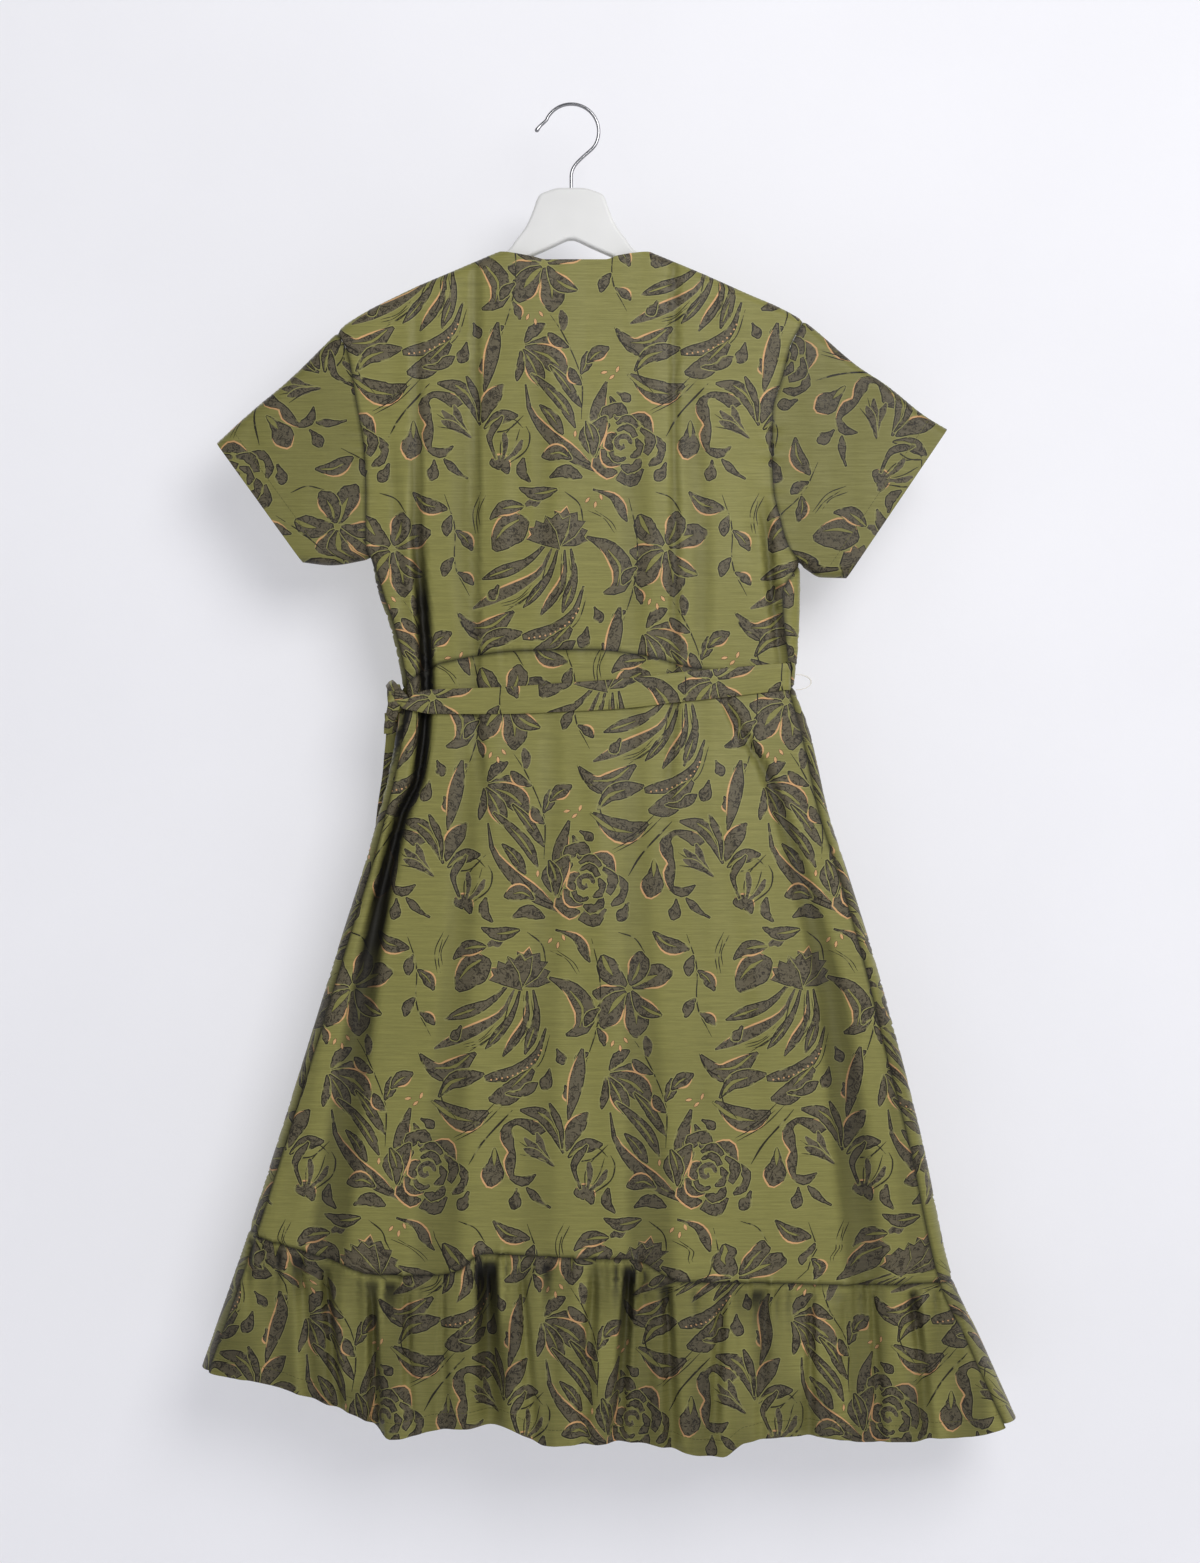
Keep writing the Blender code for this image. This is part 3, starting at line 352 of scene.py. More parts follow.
Unevenness = namedtuple("Unevenness", "seed across down height")
UNEVEN = [Unevenness(3, 46.0, 190.0, 0.9), Unevenness(11, 17.0, 52.0, 0.30)]
UNEVEN_RUFFLE = [Unevenness(29, 15.0, 75.0, 1.3), Unevenness(31, 7.0, 34.0, 0.5)]
# small puckers where a seam draws the cloth in: along the seam, and how far they run to either side
WAIST_PUCKERS, RUFFLE_PUCKERS, ARM_PUCKERS = (Unevenness(41, 6.5, 1.0, 0.45), Unevenness(43, 5.5, 1.0, 1.5),
                                              Unevenness(47, 7.5, 1.0, 0.6))
Reach = namedtuple("Reach", "before after")
WAIST_REACH, RUFFLE_REACH, ARM_REACH = Reach(9.0, 12.0), Reach(6.0, 34.0), Reach(10.0, 10.0)
CALM = (-545.0, -608.0)     # the heights between which the belt lies on the cloth
CALM_EASE = 30              # the unevenness comes back over this, above them and below them
RUFFLE_START = 25           # the skirt's unevenness gives way to the ruffle's over this, below the seam
FRONT_SHIFT = 1000          # the front's noise is read this far away from the back's
LATTICE = 64


def soft_noise(x, z, kind):
    """Smooth unevenness about 0, the same in every run."""
    lattice = np.random.default_rng(kind.seed).standard_normal((LATTICE, LATTICE))
    along, up = x / kind.across, z / kind.down
    column, row = np.floor(along).astype(int), np.floor(up).astype(int)
    s, t = along - column, up - row
    s, t = s * s * (3 - 2 * s), t * t * (3 - 2 * t)
    value = np.zeros(np.shape(x))
    for right in (0, 1):
        for above in (0, 1):
            weight = (s if right else 1 - s) * (t if above else 1 - t)
            value = value + weight * lattice[(column + right) % LATTICE, (row + above) % LATTICE]
    return kind.height * value


def faded(distance, reach):
    """1 on a seam, fading away before it and after it."""
    return np.exp(-(distance / np.where(distance > 0, reach.before, reach.after)) ** 2)


ARM_START = 15          # the armholes' puckers grow to their full height over this, above the underarm


def puckers(x, z, face):
    """How far the cloth stands out beside its seams."""
    start = FRONT_SHIFT * face
    relief = soft_noise(x + start, 0 * z, WAIST_PUCKERS) * faded(z - WAIST_SEAM(x), WAIST_REACH)
    from_ruffle = z - RUFFLE_SEAM[face](x)
    relief = relief + soft_noise(x + start, 0 * z, RUFFLE_PUCKERS) * faded(from_ruffle, RUFFLE_REACH)
    for side, seam in ARMHOLE.items():
        high = smooth_step((z - UNDERARM[side].z) / ARM_START)
        relief = relief + high * soft_noise(z + start, 0 * x, ARM_PUCKERS) * faded(x - seam(z), ARM_REACH)
    return relief


def fine_relief(x, z, face):
    """The soft creases, the puckers and the unevenness of hanging cloth."""
    relief = puckers(x, z, face)
    for crease in CREASES[face]:
        relief = relief - crease.depth(z) * trough(x - crease.x(z), crease.half_width(z))
    seam = RUFFLE_SEAM[face](x)
    on_ruffle = smooth_step((seam - z) / RUFFLE_START)
    calm = smooth_step((z - CALM[0]) / CALM_EASE) + smooth_step((CALM[1] - z) / CALM_EASE)
    for kind in UNEVEN:
        relief = relief + soft_noise(x + FRONT_SHIFT * face, z, kind) * (1 - on_ruffle) * np.minimum(calm, 1)
    for kind in UNEVEN_RUFFLE:
        relief = relief + soft_noise(x + FRONT_SHIFT * face, z, kind) * on_ruffle
    return relief


# the painted shade of each kind of crease: the depth at which it is at its darkest, and how dark that is
Darkness = namedtuple("Darkness", "depth most")
DARK_FOLD, DARK_CREASE, DARK_GATHER = Darkness(10.0, 1.0), Darkness(4.5, 0.55), Darkness(12.0, 1.0)
# painted shade across a fold's width
FOLD_CORE, CORE_EDGE, CORE_FOOT = 1.05, 2.5, 0.35   # the dark part of a fold's width, and how sharply it ends
# painted shadow in the gap behind the knot, where the skirt's side turns away
KNOT_GAP_SHADOW = fold_lines((-582, -157, 4, 0), (-588, -158, 6, 12), (-604, -163, 6, 12), (-625, -171, 6, 10),
                      (-660, -181, 4, 4), (-700, -190, 4, 0))


# the painted shade of the ruffle: how soon it comes below the seam, the width and the strength of its
# gathers' painted shade, from the seam to the hem, the cloudy painted shade between them, and that of the
# pinches
HIDDEN_HASTE = 14.0
HIDDEN_NECK, HIDDEN_WIDTH = 0.75, 0.9
HIDDEN_TOP, HIDDEN_HEM = 1.1, 0.3
FOLD_POWER, GATHER_POWER = 1.3, 1.5
RUFFLE_SHADE, RUFFLE_CLOUD = 0.42, Unevenness(53, 19.0, 60.0, 0.9)
PINCH_FADE, PINCH_FLOOR = 3.6, 0.25


# a fold's painted shade across its width: full in its core, ending sharply towards its sides
def core(offset, half_width):
    return np.clip(CORE_EDGE * trough(offset, FOLD_CORE * half_width) - CORE_FOOT, 0, 1)


def painted_shade(x, z, face):
    """The painted shade of the folds, creases, gathers, pinches and the ruffle, 0 to 1."""
    shade = np.zeros(np.shape(x))
    kinds = [(fold, DARK_FOLD) for fold in FOLDS[face].values()]
    kinds += [(fold, DARK_CREASE) for fold in CREASES[face]]
    if face == BACK:
        kinds.append((KNOT_GAP_SHADOW, DARK_FOLD))
    for fold, dark in kinds:
        share = dark.most * np.clip(fold.depth(z) / dark.depth, 0, 1) ** FOLD_POWER
        shade = np.maximum(shade, share * core(x - fold.x(z), fold.half_width(z)))
    down = (RUFFLE_SEAM[face](x) - z) / RUFFLE_DEPTH
    on_ruffle = smooth_step(HIDDEN_HASTE * down)
    below = np.clip(down, 0, 1)
    cloudy = 0.5 + 0.5 * soft_noise(x + FRONT_SHIFT * face, z, RUFFLE_CLOUD)
    shade = np.maximum(shade, on_ruffle * RUFFLE_SHADE * np.clip(cloudy, 0, 1))
    puckered = -soft_noise(x + FRONT_SHIFT * face, 0 * z, RUFFLE_PUCKERS)
    pinched = np.clip(puckered / RUFFLE_PUCKERS.height - PINCH_FLOOR, 0, 1)
    shade = np.maximum(shade, on_ruffle * pinched * np.exp(-(below * PINCH_FADE) ** 2))
    for gather in GATHERS[face]:
        width = gather.half_width * blend(HIDDEN_NECK, HIDDEN_WIDTH, below)
        share = on_ruffle * blend(HIDDEN_TOP, HIDDEN_HEM, below)
        share = share * min(gather.depth / DARK_GATHER.depth, 1) ** GATHER_POWER
        shade = np.maximum(shade, share * core(x - blend(gather.x_seam, gather.x_hem, below), width))
    return np.clip(shade, 0, 1)


LEAST_HALF = 1.2        # a fold goes no nearer than this to the middle
# the coarse inside: how much wider than a fold it dips, how far below the cloth it keeps, on the ruffle
# too, and the distance from a border over which it comes back to the cloth
LINING_SPREAD, LINING_SPARE, RUFFLE_SPARE, LINING_EASE = 8.0, 2.2, 5.0, 7.0
SPARE_HASTE = 6         # how many times faster than the ruffle's depth it comes to the ruffle's distance


def lining_drop(x, z, face):
    """How far the coarse inside of the cloth keeps below its smooth form, to stay behind every crease."""
    down = np.clip((RUFFLE_SEAM[face](x) - z) / RUFFLE_DEPTH, 0, 1)
    drop = np.zeros(np.shape(x))

    def wide_trough(offset, half_width):
        return trough(np.maximum(np.abs(offset) - LINING_SPREAD, 0), half_width)

    for fold in list(FOLDS[face].values()) + CREASES[face]:
        drop = np.maximum(drop, fold.depth(z) * wide_trough(x - fold.x(z), fold.half_width(z)))
    grown = smooth_step(GATHER_HASTE * down)
    for gather in GATHERS[face]:
        width = gather.half_width * blend(GATHER_NECK, 1, down)
        crease = blend(gather.x_seam, gather.x_hem, down)
        drop = np.maximum(drop, gather.depth * grown * wide_trough(x - crease, width))
    return drop + blend(LINING_SPARE, RUFFLE_SPARE, smooth_step(SPARE_HASTE * down)) - RUFFLE_FLARE * down


def half_thickness(x, z, face, folded=True):
    """The layer's distance from the middle of the garment, away from the rolled edges."""
    left = np.where(z > UNDERARM["left"].z, ARMHOLE["left"](z), SIDE["left"](z))
    right = np.where(z > UNDERARM["right"].z, ARMHOLE["right"](z), SIDE["right"](z))
    across = (2 * x - left - right) / (right - left)
    crown = SECTIONS.crown_front(z) if face == FRONT else SECTIONS.crown_back(z)
    height = SECTIONS.half_edge(z) + crown * np.clip(1 - across * across, 0, 1) ** 2
    if folded:
        for fold in FOLDS[face].values():
            height = height - fold.depth(z) * trough(x - fold.x(z), fold.half_width(z))
        height = height + ruffle_relief(x, z, face) + fine_relief(x, z, face)
    return np.maximum(height, LEAST_HALF)


def thickness_squared(x, z, face, folded):
    """The square of the layer's distance from the middle, below zero outside the outline."""
    rolled = 1 - np.minimum(distance_inside(x, z) / SECTIONS.roll(z), 1)
    return half_thickness(x, z, face, folded) ** 2 * (1 - rolled * rolled)


def on_layer(x, z, layer, lift, folded, gap):
    """Points of one layer, moved out by lift, and the directions out of the cloth there."""
    square = thickness_squared(x, z, layer, folded)
    y = layer * np.maximum(np.sqrt(np.maximum(square, 0)), gap / 2)
    step = NORMAL_STEP
    slope_x = (thickness_squared(x + step, z, layer, folded)
               - thickness_squared(x - step, z, layer, folded)) / (2 * step)
    slope_z = (thickness_squared(x, z + step, layer, folded)
               - thickness_squared(x, z - step, layer, folded)) / (2 * step)
    normal = np.stack((-slope_x, 2 * y, -slope_z), axis=-1)
    normal /= np.linalg.norm(normal, axis=-1, keepdims=True)
    return np.stack((x, y, z), axis=-1) + normal * lift[..., None], normal


def round_sides(across, z):
    """The x of places whose across may run on round a side, and whether they lie beyond it."""
    left, right = SIDE["left"](z), SIDE["right"](z)
    low = z < np.where(across < 0, UNDERARM["left"].z, UNDERARM["right"].z)
    round_left, round_right = low & (across < left), low & (across > right)
    x = np.where(round_left, 2 * left - across, np.where(round_right, 2 * right - across, across))
    return x, round_left | round_right


def on_cloth(across, z, face, lift=0.0, wraps=True, folded=True, gap=SEAM_GAP):
    """The same for either layer.  Beyond a side, across runs on round it to the other layer."""
    across, z, lift = np.broadcast_arrays(np.asarray(across, float), np.asarray(z, float), lift)
    x, on_other = round_sides(across, z) if wraps else (across, np.zeros(across.shape, bool))
    points, normals = np.empty(x.shape + (3,)), np.empty(x.shape + (3,))
    for layer in (BACK, FRONT):
        here = on_other if layer != face else ~on_other
        points[here], normals[here] = on_layer(x[here], z[here], layer, lift[here], folded, gap)
    return points, normals


# ---------------------------------------------------------------- the cloth laid flat

ARC_ROWS = np.arange(-1330.0, -110.0, 8.0)
ARC_COLUMNS = np.arange(-520.0, 520.1, 2.0)
ARC_BIG = 10000.0       # keeps the rows apart in one sorted list


class Flat:
    """How far along the cloth each point lies from the line x = 0, row by row."""

    def __init__(self, face):
        across, z = np.meshgrid(ARC_COLUMNS, ARC_ROWS)
        points, _ = on_cloth(across, z, face)
        steps = np.linalg.norm(np.diff(points, axis=1), axis=2)
        run = np.cumsum(np.maximum(steps, 1e-4), axis=1)
        arc = np.concatenate((np.zeros((len(ARC_ROWS), 1)), run), axis=1)
        middle = np.argmin(np.abs(ARC_COLUMNS))
        self.arc = arc - arc[:, middle:middle + 1]
        self.sorted = (self.arc + ARC_BIG * np.arange(len(ARC_ROWS))[:, None]).ravel()

    def rows(self, z):
        place = np.clip((z - ARC_ROWS[0]) / (ARC_ROWS[1] - ARC_ROWS[0]), 0, len(ARC_ROWS) - 1.001)
        row = np.floor(place).astype(int)
        return row, place - row

    def along(self, across, z):
        """From a point on the form to its distance along the flat cloth."""
        row, up = self.rows(z)
        place = np.clip((across - ARC_COLUMNS[0]) / (ARC_COLUMNS[1] - ARC_COLUMNS[0]), 0,
                        len(ARC_COLUMNS) - 1.001)
        column = np.floor(place).astype(int)
        share = place - column
        lower = blend(self.arc[row, column], self.arc[row, column + 1], share)
        upper = blend(self.arc[row + 1, column], self.arc[row + 1, column + 1], share)
        return blend(lower, upper, up)

    def across(self, along, z):
        """The other way."""
        row, up = self.rows(z)
        found = []
        for here in (row, row + 1):
            limited = np.clip(along, self.arc[here, 0] + 1e-6, self.arc[here, -1] - 1e-6)
            after = np.searchsorted(self.sorted, limited + ARC_BIG * here) - here * len(ARC_COLUMNS)
            after = np.clip(after, 1, len(ARC_COLUMNS) - 1)
            before = after - 1
            width = np.maximum(self.arc[here, after] - self.arc[here, before], 1e-9)
            share = np.clip((limited - self.arc[here, before]) / width, 0, 1)
            found.append(blend(ARC_COLUMNS[before], ARC_COLUMNS[after], share))
        return blend(found[0], found[1], up)

    def flatten(self, points):
        return pairs(self.along(points[:, 0], points[:, 1]), points[:, 1])

    def unflatten(self, points):
        return pairs(self.across(points[:, 0], points[:, 1]), points[:, 1])


FLAT = {face: Flat(face) for face in (BACK, FRONT)}


# ---------------------------------------------------------------- thin shells of printed cloth

# the print's inks, with the wrong side's colour and a near-black painted shade; a later shape is printed over
# an earlier one
GROUND, HALO, LINE, FILL, PEACH, THREAD, WRONG_SIDE, SLIT_SHADE = range(8)
MERGE = 1e-4            # points closer than this are one
# a shape that seems to cover more than this many times its area, and this much besides, isn't filled
LEAK, LEAK_SPARE = 3.4, 40.0
OUTER_MAP, INNER_MAP = 0.74, 0.75      # where the outside's baking map ends, and the inside's starts


def area_of(polygon):
    x, y = polygon[:, 0], polygon[:, 1]
    return 0.5 * float(np.sum(x * np.roll(y, -1) - y * np.roll(x, -1)))


def triangulate(outline, inside, shapes):
    """Triangles of the outline's inside, each with the ink of the last shape that covers it."""
    polygons = [outline] + [shape if area_of(shape) > 0 else shape[::-1] for _, shape in shapes]
    inks = [GROUND] + [ink for ink, _ in shapes]
    starts = np.cumsum([0] + [len(polygon) for polygon in polygons])
    rings = [list(range(a, b)) for a, b in zip(starts, starts[1:])]
    points = np.concatenate(polygons + [inside])
    found = delaunay_2d_cdt([Vector(point) for point in points.tolist()], [], rings, 1, MERGE, True)
    spots = np.array([tuple(spot) for spot in found[0]])
    triangles, covers = [], []
    for triangle, cover in zip(found[2], found[5]):
        if cover and min(cover) == 0:
            triangles.append(triangle)
            covers.append(cover)
    triangles = np.array(triangles)
    a, b, c = (spots[triangles[:, i]] for i in range(3))
    sizes = 0.5 * np.abs((b - a)[:, 0] * (c - a)[:, 1] - (b - a)[:, 1] * (c - a)[:, 0])
    owners = np.concatenate([np.full(len(cover), number) for number, cover in enumerate(covers)])
    claims = np.concatenate([np.array(cover) for cover in covers])
    covered = np.bincount(claims, weights=sizes[owners], minlength=len(polygons))
    honest = np.array([covered[number] <= LEAK * abs(area_of(polygon)) + LEAK_SPARE
                       for number, polygon in enumerate(polygons)])
    for number in np.flatnonzero(~honest):      # its outline takes its ink instead
        if inks[number] == FILL and inks[number - 1] == LINE:
            inks[number - 1] = FILL
    ink = np.array([inks[max(number for number in cover if honest[number] or number == 0)]
                    for cover in covers])
    used = np.unique(triangles)     # leaves out the parts of shapes that lie beyond the outline
    renumbered = np.zeros(len(spots), int)
    renumbered[used] = np.arange(len(used))
    return spots[used], renumbered[triangles], ink, [found[3][number] for number in used]


def rim_of(triangles):
    """The loop of points round a set of triangles, in the triangles' own sense."""
    edges = np.concatenate([triangles[:, [0, 1]], triangles[:, [1, 2]], triangles[:, [2, 0]]])
    seen = set(map(tuple, edges.tolist()))
    after = {a: b for a, b in seen if (b, a) not in seen}
    start = min(after)
    loop = [start]
    while after[loop[-1]] != start:
        loop.append(after[loop[-1]])
    if len(loop) != len(after):
        raise SystemExit("a piece of cloth has more than one rim")
    return np.array(loop)


Cut = namedtuple("Cut", "width length area")
LEAN_CUT = 0.4          # a piece that fills less of its upright rectangle is measured along its grain


def cut_of(outline):
    """The size of the rectangle that a flat piece is cut from, and the piece's area, in metres."""
    area = abs(area_of(outline))
    best = None
    for degrees in range(0, 90, 3):
        angle = math.radians(degrees)
        along = outline @ way_at(angle)
        beside = outline @ left_of(way_at(angle))
        width, length = np.ptp(along), np.ptp(beside)
        if best is None or width * length < best[0] * best[1]:
            best = width, length
        if degrees == 0 and area > LEAN_CUT * width * length:
            break
    return Cut(best[0] * MM, best[1] * MM, area * MM * MM)


def shell(name, outline, fine, coarse, shapes, lay, flatten, lining=WRONG_SIDE, turned=False, shade=None):
    """A closed thin piece of cloth.

    lay(points, skin) gives positions and outward directions for skin 0, the right side, or 1, the
    inside; flatten(points) gives the flat cloth's own coordinates.  With turned, the flat outline runs
    the other way round when it is seen from outside.  shade(points) gives the points' painted shade,
    deepest in a crease, which the material darkens the colour by.
    """
    spots, triangles, ink, _ = triangulate(outline, fine, shapes)
    loop = rim_of(triangles)
    if coarse is None:
        back_spots, back_triangles, back_ink = spots, triangles, ink
        back_loop = loop
    else:
        back_spots, back_triangles, back_ink, origins = triangulate(spots[loop], coarse, [])
        place = {given: number for number, sources in enumerate(origins) for given in sources}
        back_loop = np.array([place[number] for number in range(len(loop))])
        back_ink = np.full(len(back_triangles), lining)
    outer, outward_directions = lay(spots, 0)
    inner, inner_directions = lay(back_spots, 1)
    count = len(outer)
    after, back_after = np.roll(loop, -1), np.roll(back_loop, -1)
    rim = np.stack((after, loop, back_loop + count, back_after + count), axis=1)
    faces = [triangles, back_triangles[:, ::-1] + count, rim]
    if turned:
        faces = [part[:, ::-1] for part in faces]
    inside_directions = -inner_directions
    mesh = bpy.data.meshes.new(name)
    mesh.from_pydata((np.concatenate((outer, inner)) * MM).tolist(), [],
                     [face for part in faces for face in part.tolist()])
    inks = np.concatenate((ink, back_ink, np.full(len(rim), GROUND))).astype(np.float32)
    mesh.attributes.new("ink", "FLOAT", "FACE").data.foreach_set("value", inks)
    # the points' painted shade, kept for the material to darken the colour by
    if shade:
        painted_shades = np.concatenate((shade(spots), shade(back_spots))).astype(np.float32)
        mesh.attributes.new("shade", "FLOAT", "POINT").data.foreach_set("value", painted_shades)
    corners = np.concatenate([part.ravel() for part in faces])
    sizes = [part.size for part in faces]

    rim_start = len(triangles) + len(back_triangles)
    rim_normals = np.array([polygon.normal for polygon in mesh.polygons[rim_start:]])
    directions = np.concatenate((outward_directions, inside_directions))
    normals = directions[corners]
    normals[sizes[0] + sizes[1]:] = np.repeat(rim_normals, 4, axis=0)
    mesh.polygons.foreach_set("use_smooth", np.ones(len(mesh.polygons), bool))
    mesh.normals_split_custom_set(normals.tolist())

    flat = np.concatenate((flatten(spots), flatten(back_spots)))
    low, high = flat[:count].min(axis=0), flat[:count].max(axis=0)
    size = high - low
    own = flat[corners]
    mesh.uv_layers.new(name="Flat").data.foreach_set("uv", (own * MM).astype(np.float32).ravel())
    share = (own - low) / size
    on_inside = np.zeros(len(corners), bool)
    on_inside[sizes[0]:sizes[0] + sizes[1]] = True
    baked = np.where(on_inside[:, None], (INNER_MAP, 0) + share * (1 - INNER_MAP, 1),
                     share * (OUTER_MAP, 1))
    mesh.uv_layers.new(name="OFBake").data.foreach_set("uv", baked.astype(np.float32).ravel())
    mesh.uv_layers.active = mesh.uv_layers["OFBake"]
    cut = cut_of(flatten(outline))
    return put(name, mesh), cut


def finish_piece(thing, material, node):
    thing.data.materials.append(material)
    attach(thing, "root")
    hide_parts(node)


def declare(thing, cut, held, node, rests_on="hanger_body"):
    finish_piece(thing, SATIN, node)


# ---------------------------------------------------------------- the body's panels

FINE_STEP = 5.2
RUFFLE_STEP = 3.4
COARSE_STEP = 9.0
OUTLINE_STEP = 3.2
SEAM_PITCH, ROLL_PITCH = OUTLINE_STEP * 1.4, OUTLINE_STEP * 1.2     # between points of such rows
SEAM_ROWS = (1.6, 3.6)      # rows of points beside a seam
ROLL_ROWS = (0.35, 1.3, 2.9, 5.2, 8.0)      # rows of points below a rolled top edge
EDGE_ZONE, OUTER_LEAST, INNER_LEAST = 5.0, 1.0, 0.3     # how near either skin comes to the middle
SEAM_DIP = 1.5
SEAM_DIP_WIDTH = 2.4
# painted shade at the bottom of a seam's dip
SEAM_SHADE = 0.75
FAR = 1000.0            # from any seam
# how far a panel's inner points keep from its edges: from a rolled top, from sewn and free sides, and
# on the inside; and how far the rows beside the edges do
ROLL_MARGIN, SEWN_MARGIN, FREE_MARGIN, COARSE_MARGIN = 9.5, 4.5, 2.0, 5.0
EDGE_CLEAR = 0.25
NOT_SEWN = (False,) * 4


def outward(side):
    return -1 if side == "left" else 1


def side_edge(side, face):
    """A panel's armhole and side.  The back stops short of the garment's side, the front runs round it."""
    def line(z):
        seam = np.where(z > UNDERARM[side].z, ARMHOLE[side](z),
                        SIDE[side](z) + face * outward(side) * SEAM_INSET[side](z))
        return seam - outward(side) * SEAM_GAP / 2
    return line


def back_top(x):
    on_neck = (x > NECK_POINT["left"].x) & (x < NECK_POINT["right"].x)
    return np.where(on_neck, NECK_EDGE(x), TOP_EDGE(x))


def under_lift(across, z):
    return -LAYER_DROP * smooth_step((across - OVER_EDGE(z) + LAYER_LEAD) / LAYER_RAMP)


def level(across, z):
    return np.zeros(np.shape(z))


def corner(line, edge, start):
    z = float(start)
    for _ in range(40):
        z = float(edge(float(line(z))))
    return float(line(z)), z


def down_line(line, upper, lower):
    z = np.linspace(upper, lower, max(2, int(abs(upper - lower) / OUTLINE_STEP)))
    return pairs(line(z), z)


def across_line(edge, start, end):
    x = np.linspace(start, end, max(2, int(abs(end - start) / OUTLINE_STEP)))
    return pairs(x, edge(x))


Border = namedtuple("Border", "left right top bottom")      # lines x(z), x(z), z(x), z(x)
Seams = namedtuple("Seams", "left right top bottom", defaults=(True, True, True, True))


def outline_of(border, start, end):
    top_left, top_right = corner(border.left, border.top, start), corner(border.right, border.top, start)
    foot_left = corner(border.left, border.bottom, end)
    foot_right = corner(border.right, border.bottom, end)
    parts = [down_line(border.left, top_left[1], foot_left[1]),
             across_line(border.bottom, foot_left[0], foot_right[0])[1:],
             down_line(border.right, foot_right[1], top_right[1])[1:],
             across_line(border.top, top_right[0], top_left[0])[1:-1]]
    return np.concatenate(parts)


def inside_points(border, outline, face, step, margin, top_margin):
    """Rows of points, evenly spaced along the cloth."""
    flat = FLAT[face]
    rows = []
    for number, z in enumerate(np.arange(outline[:, 1].min() + step / 2, outline[:, 1].max(), step)):
        left, right = float(border.left(z)) + margin, float(border.right(z)) - margin
        if right - left < margin:
            continue
        start, end = flat.along(np.array([left, right]), np.array([z, z]))
        count = max(2, int((end - start) / step))
        shift = 0.5 * (number % 2) / count
        along = start + (end - start) * (np.arange(count) + shift) / count
        x = flat.across(along, np.full(count, z))
        x = x[(x >= left) & (x <= right)]
        keep = (z < border.top(x) - top_margin) & (z > border.bottom(x) + margin)
        rows.append(pairs(x[keep], np.full(int(keep.sum()), z)))
    return np.concatenate(rows)


def beside_edges(border, outline, seams, top_rows):
    """Rows of points close beside the seams and below a rolled top edge."""
    z_low, z_high = outline[:, 1].min(), outline[:, 1].max()
    rows = []
    for distance in SEAM_ROWS:
        z = np.arange(z_low + distance, z_high - distance, SEAM_PITCH)
        for line, inward, sewn in ((border.left, 1, seams.left), (border.right, -1, seams.right)):
            if sewn:
                rows.append(pairs(line(z) + inward * distance, z))
        x = np.arange(outline[:, 0].min() + distance, outline[:, 0].max() - distance, SEAM_PITCH)
        if seams.bottom:
            rows.append(pairs(x, border.bottom(x) + distance))
        if seams.top and top_rows is None:
            rows.append(pairs(x, border.top(x) - distance))
    for distance in top_rows or ():
        x = np.arange(outline[:, 0].min() + 0.5, outline[:, 0].max() - 0.5, ROLL_PITCH)
        rows.append(pairs(x, border.top(x) - distance / TOP_EDGE.lean(x)))
    if not rows:
        return np.empty((0, 2))
    points = np.concatenate(rows)
    x, z = points.T
    keep = ((x > border.left(z) + EDGE_CLEAR) & (x < border.right(z) - EDGE_CLEAR)
            & (z < border.top(x) - EDGE_CLEAR) & (z > border.bottom(x) + EDGE_CLEAR))
    return points[keep]


def clearance(border, x, z):
    """How far a point lies inside a panel's edges."""
    return np.minimum(np.minimum(x - border.left(z), border.right(z) - x),
                      np.minimum(border.top(x) - z, z - border.bottom(x)))


def seam_dip(border, seams):
    """The cloth pulls in a little at its seams."""
    def dip(x, z):
        distance = np.full(np.shape(x), FAR)
        for sewn, line, key, place in ((seams.left, border.left, z, x), (seams.right, border.right, z, x),
                                       (seams.top, border.top, x, z), (seams.bottom, border.bottom, x, z)):
            if sewn:
                distance = np.minimum(distance, np.abs(place - line(key)))
        return -SEAM_DIP * np.exp(-(distance / SEAM_DIP_WIDTH) ** 2)
    return dip


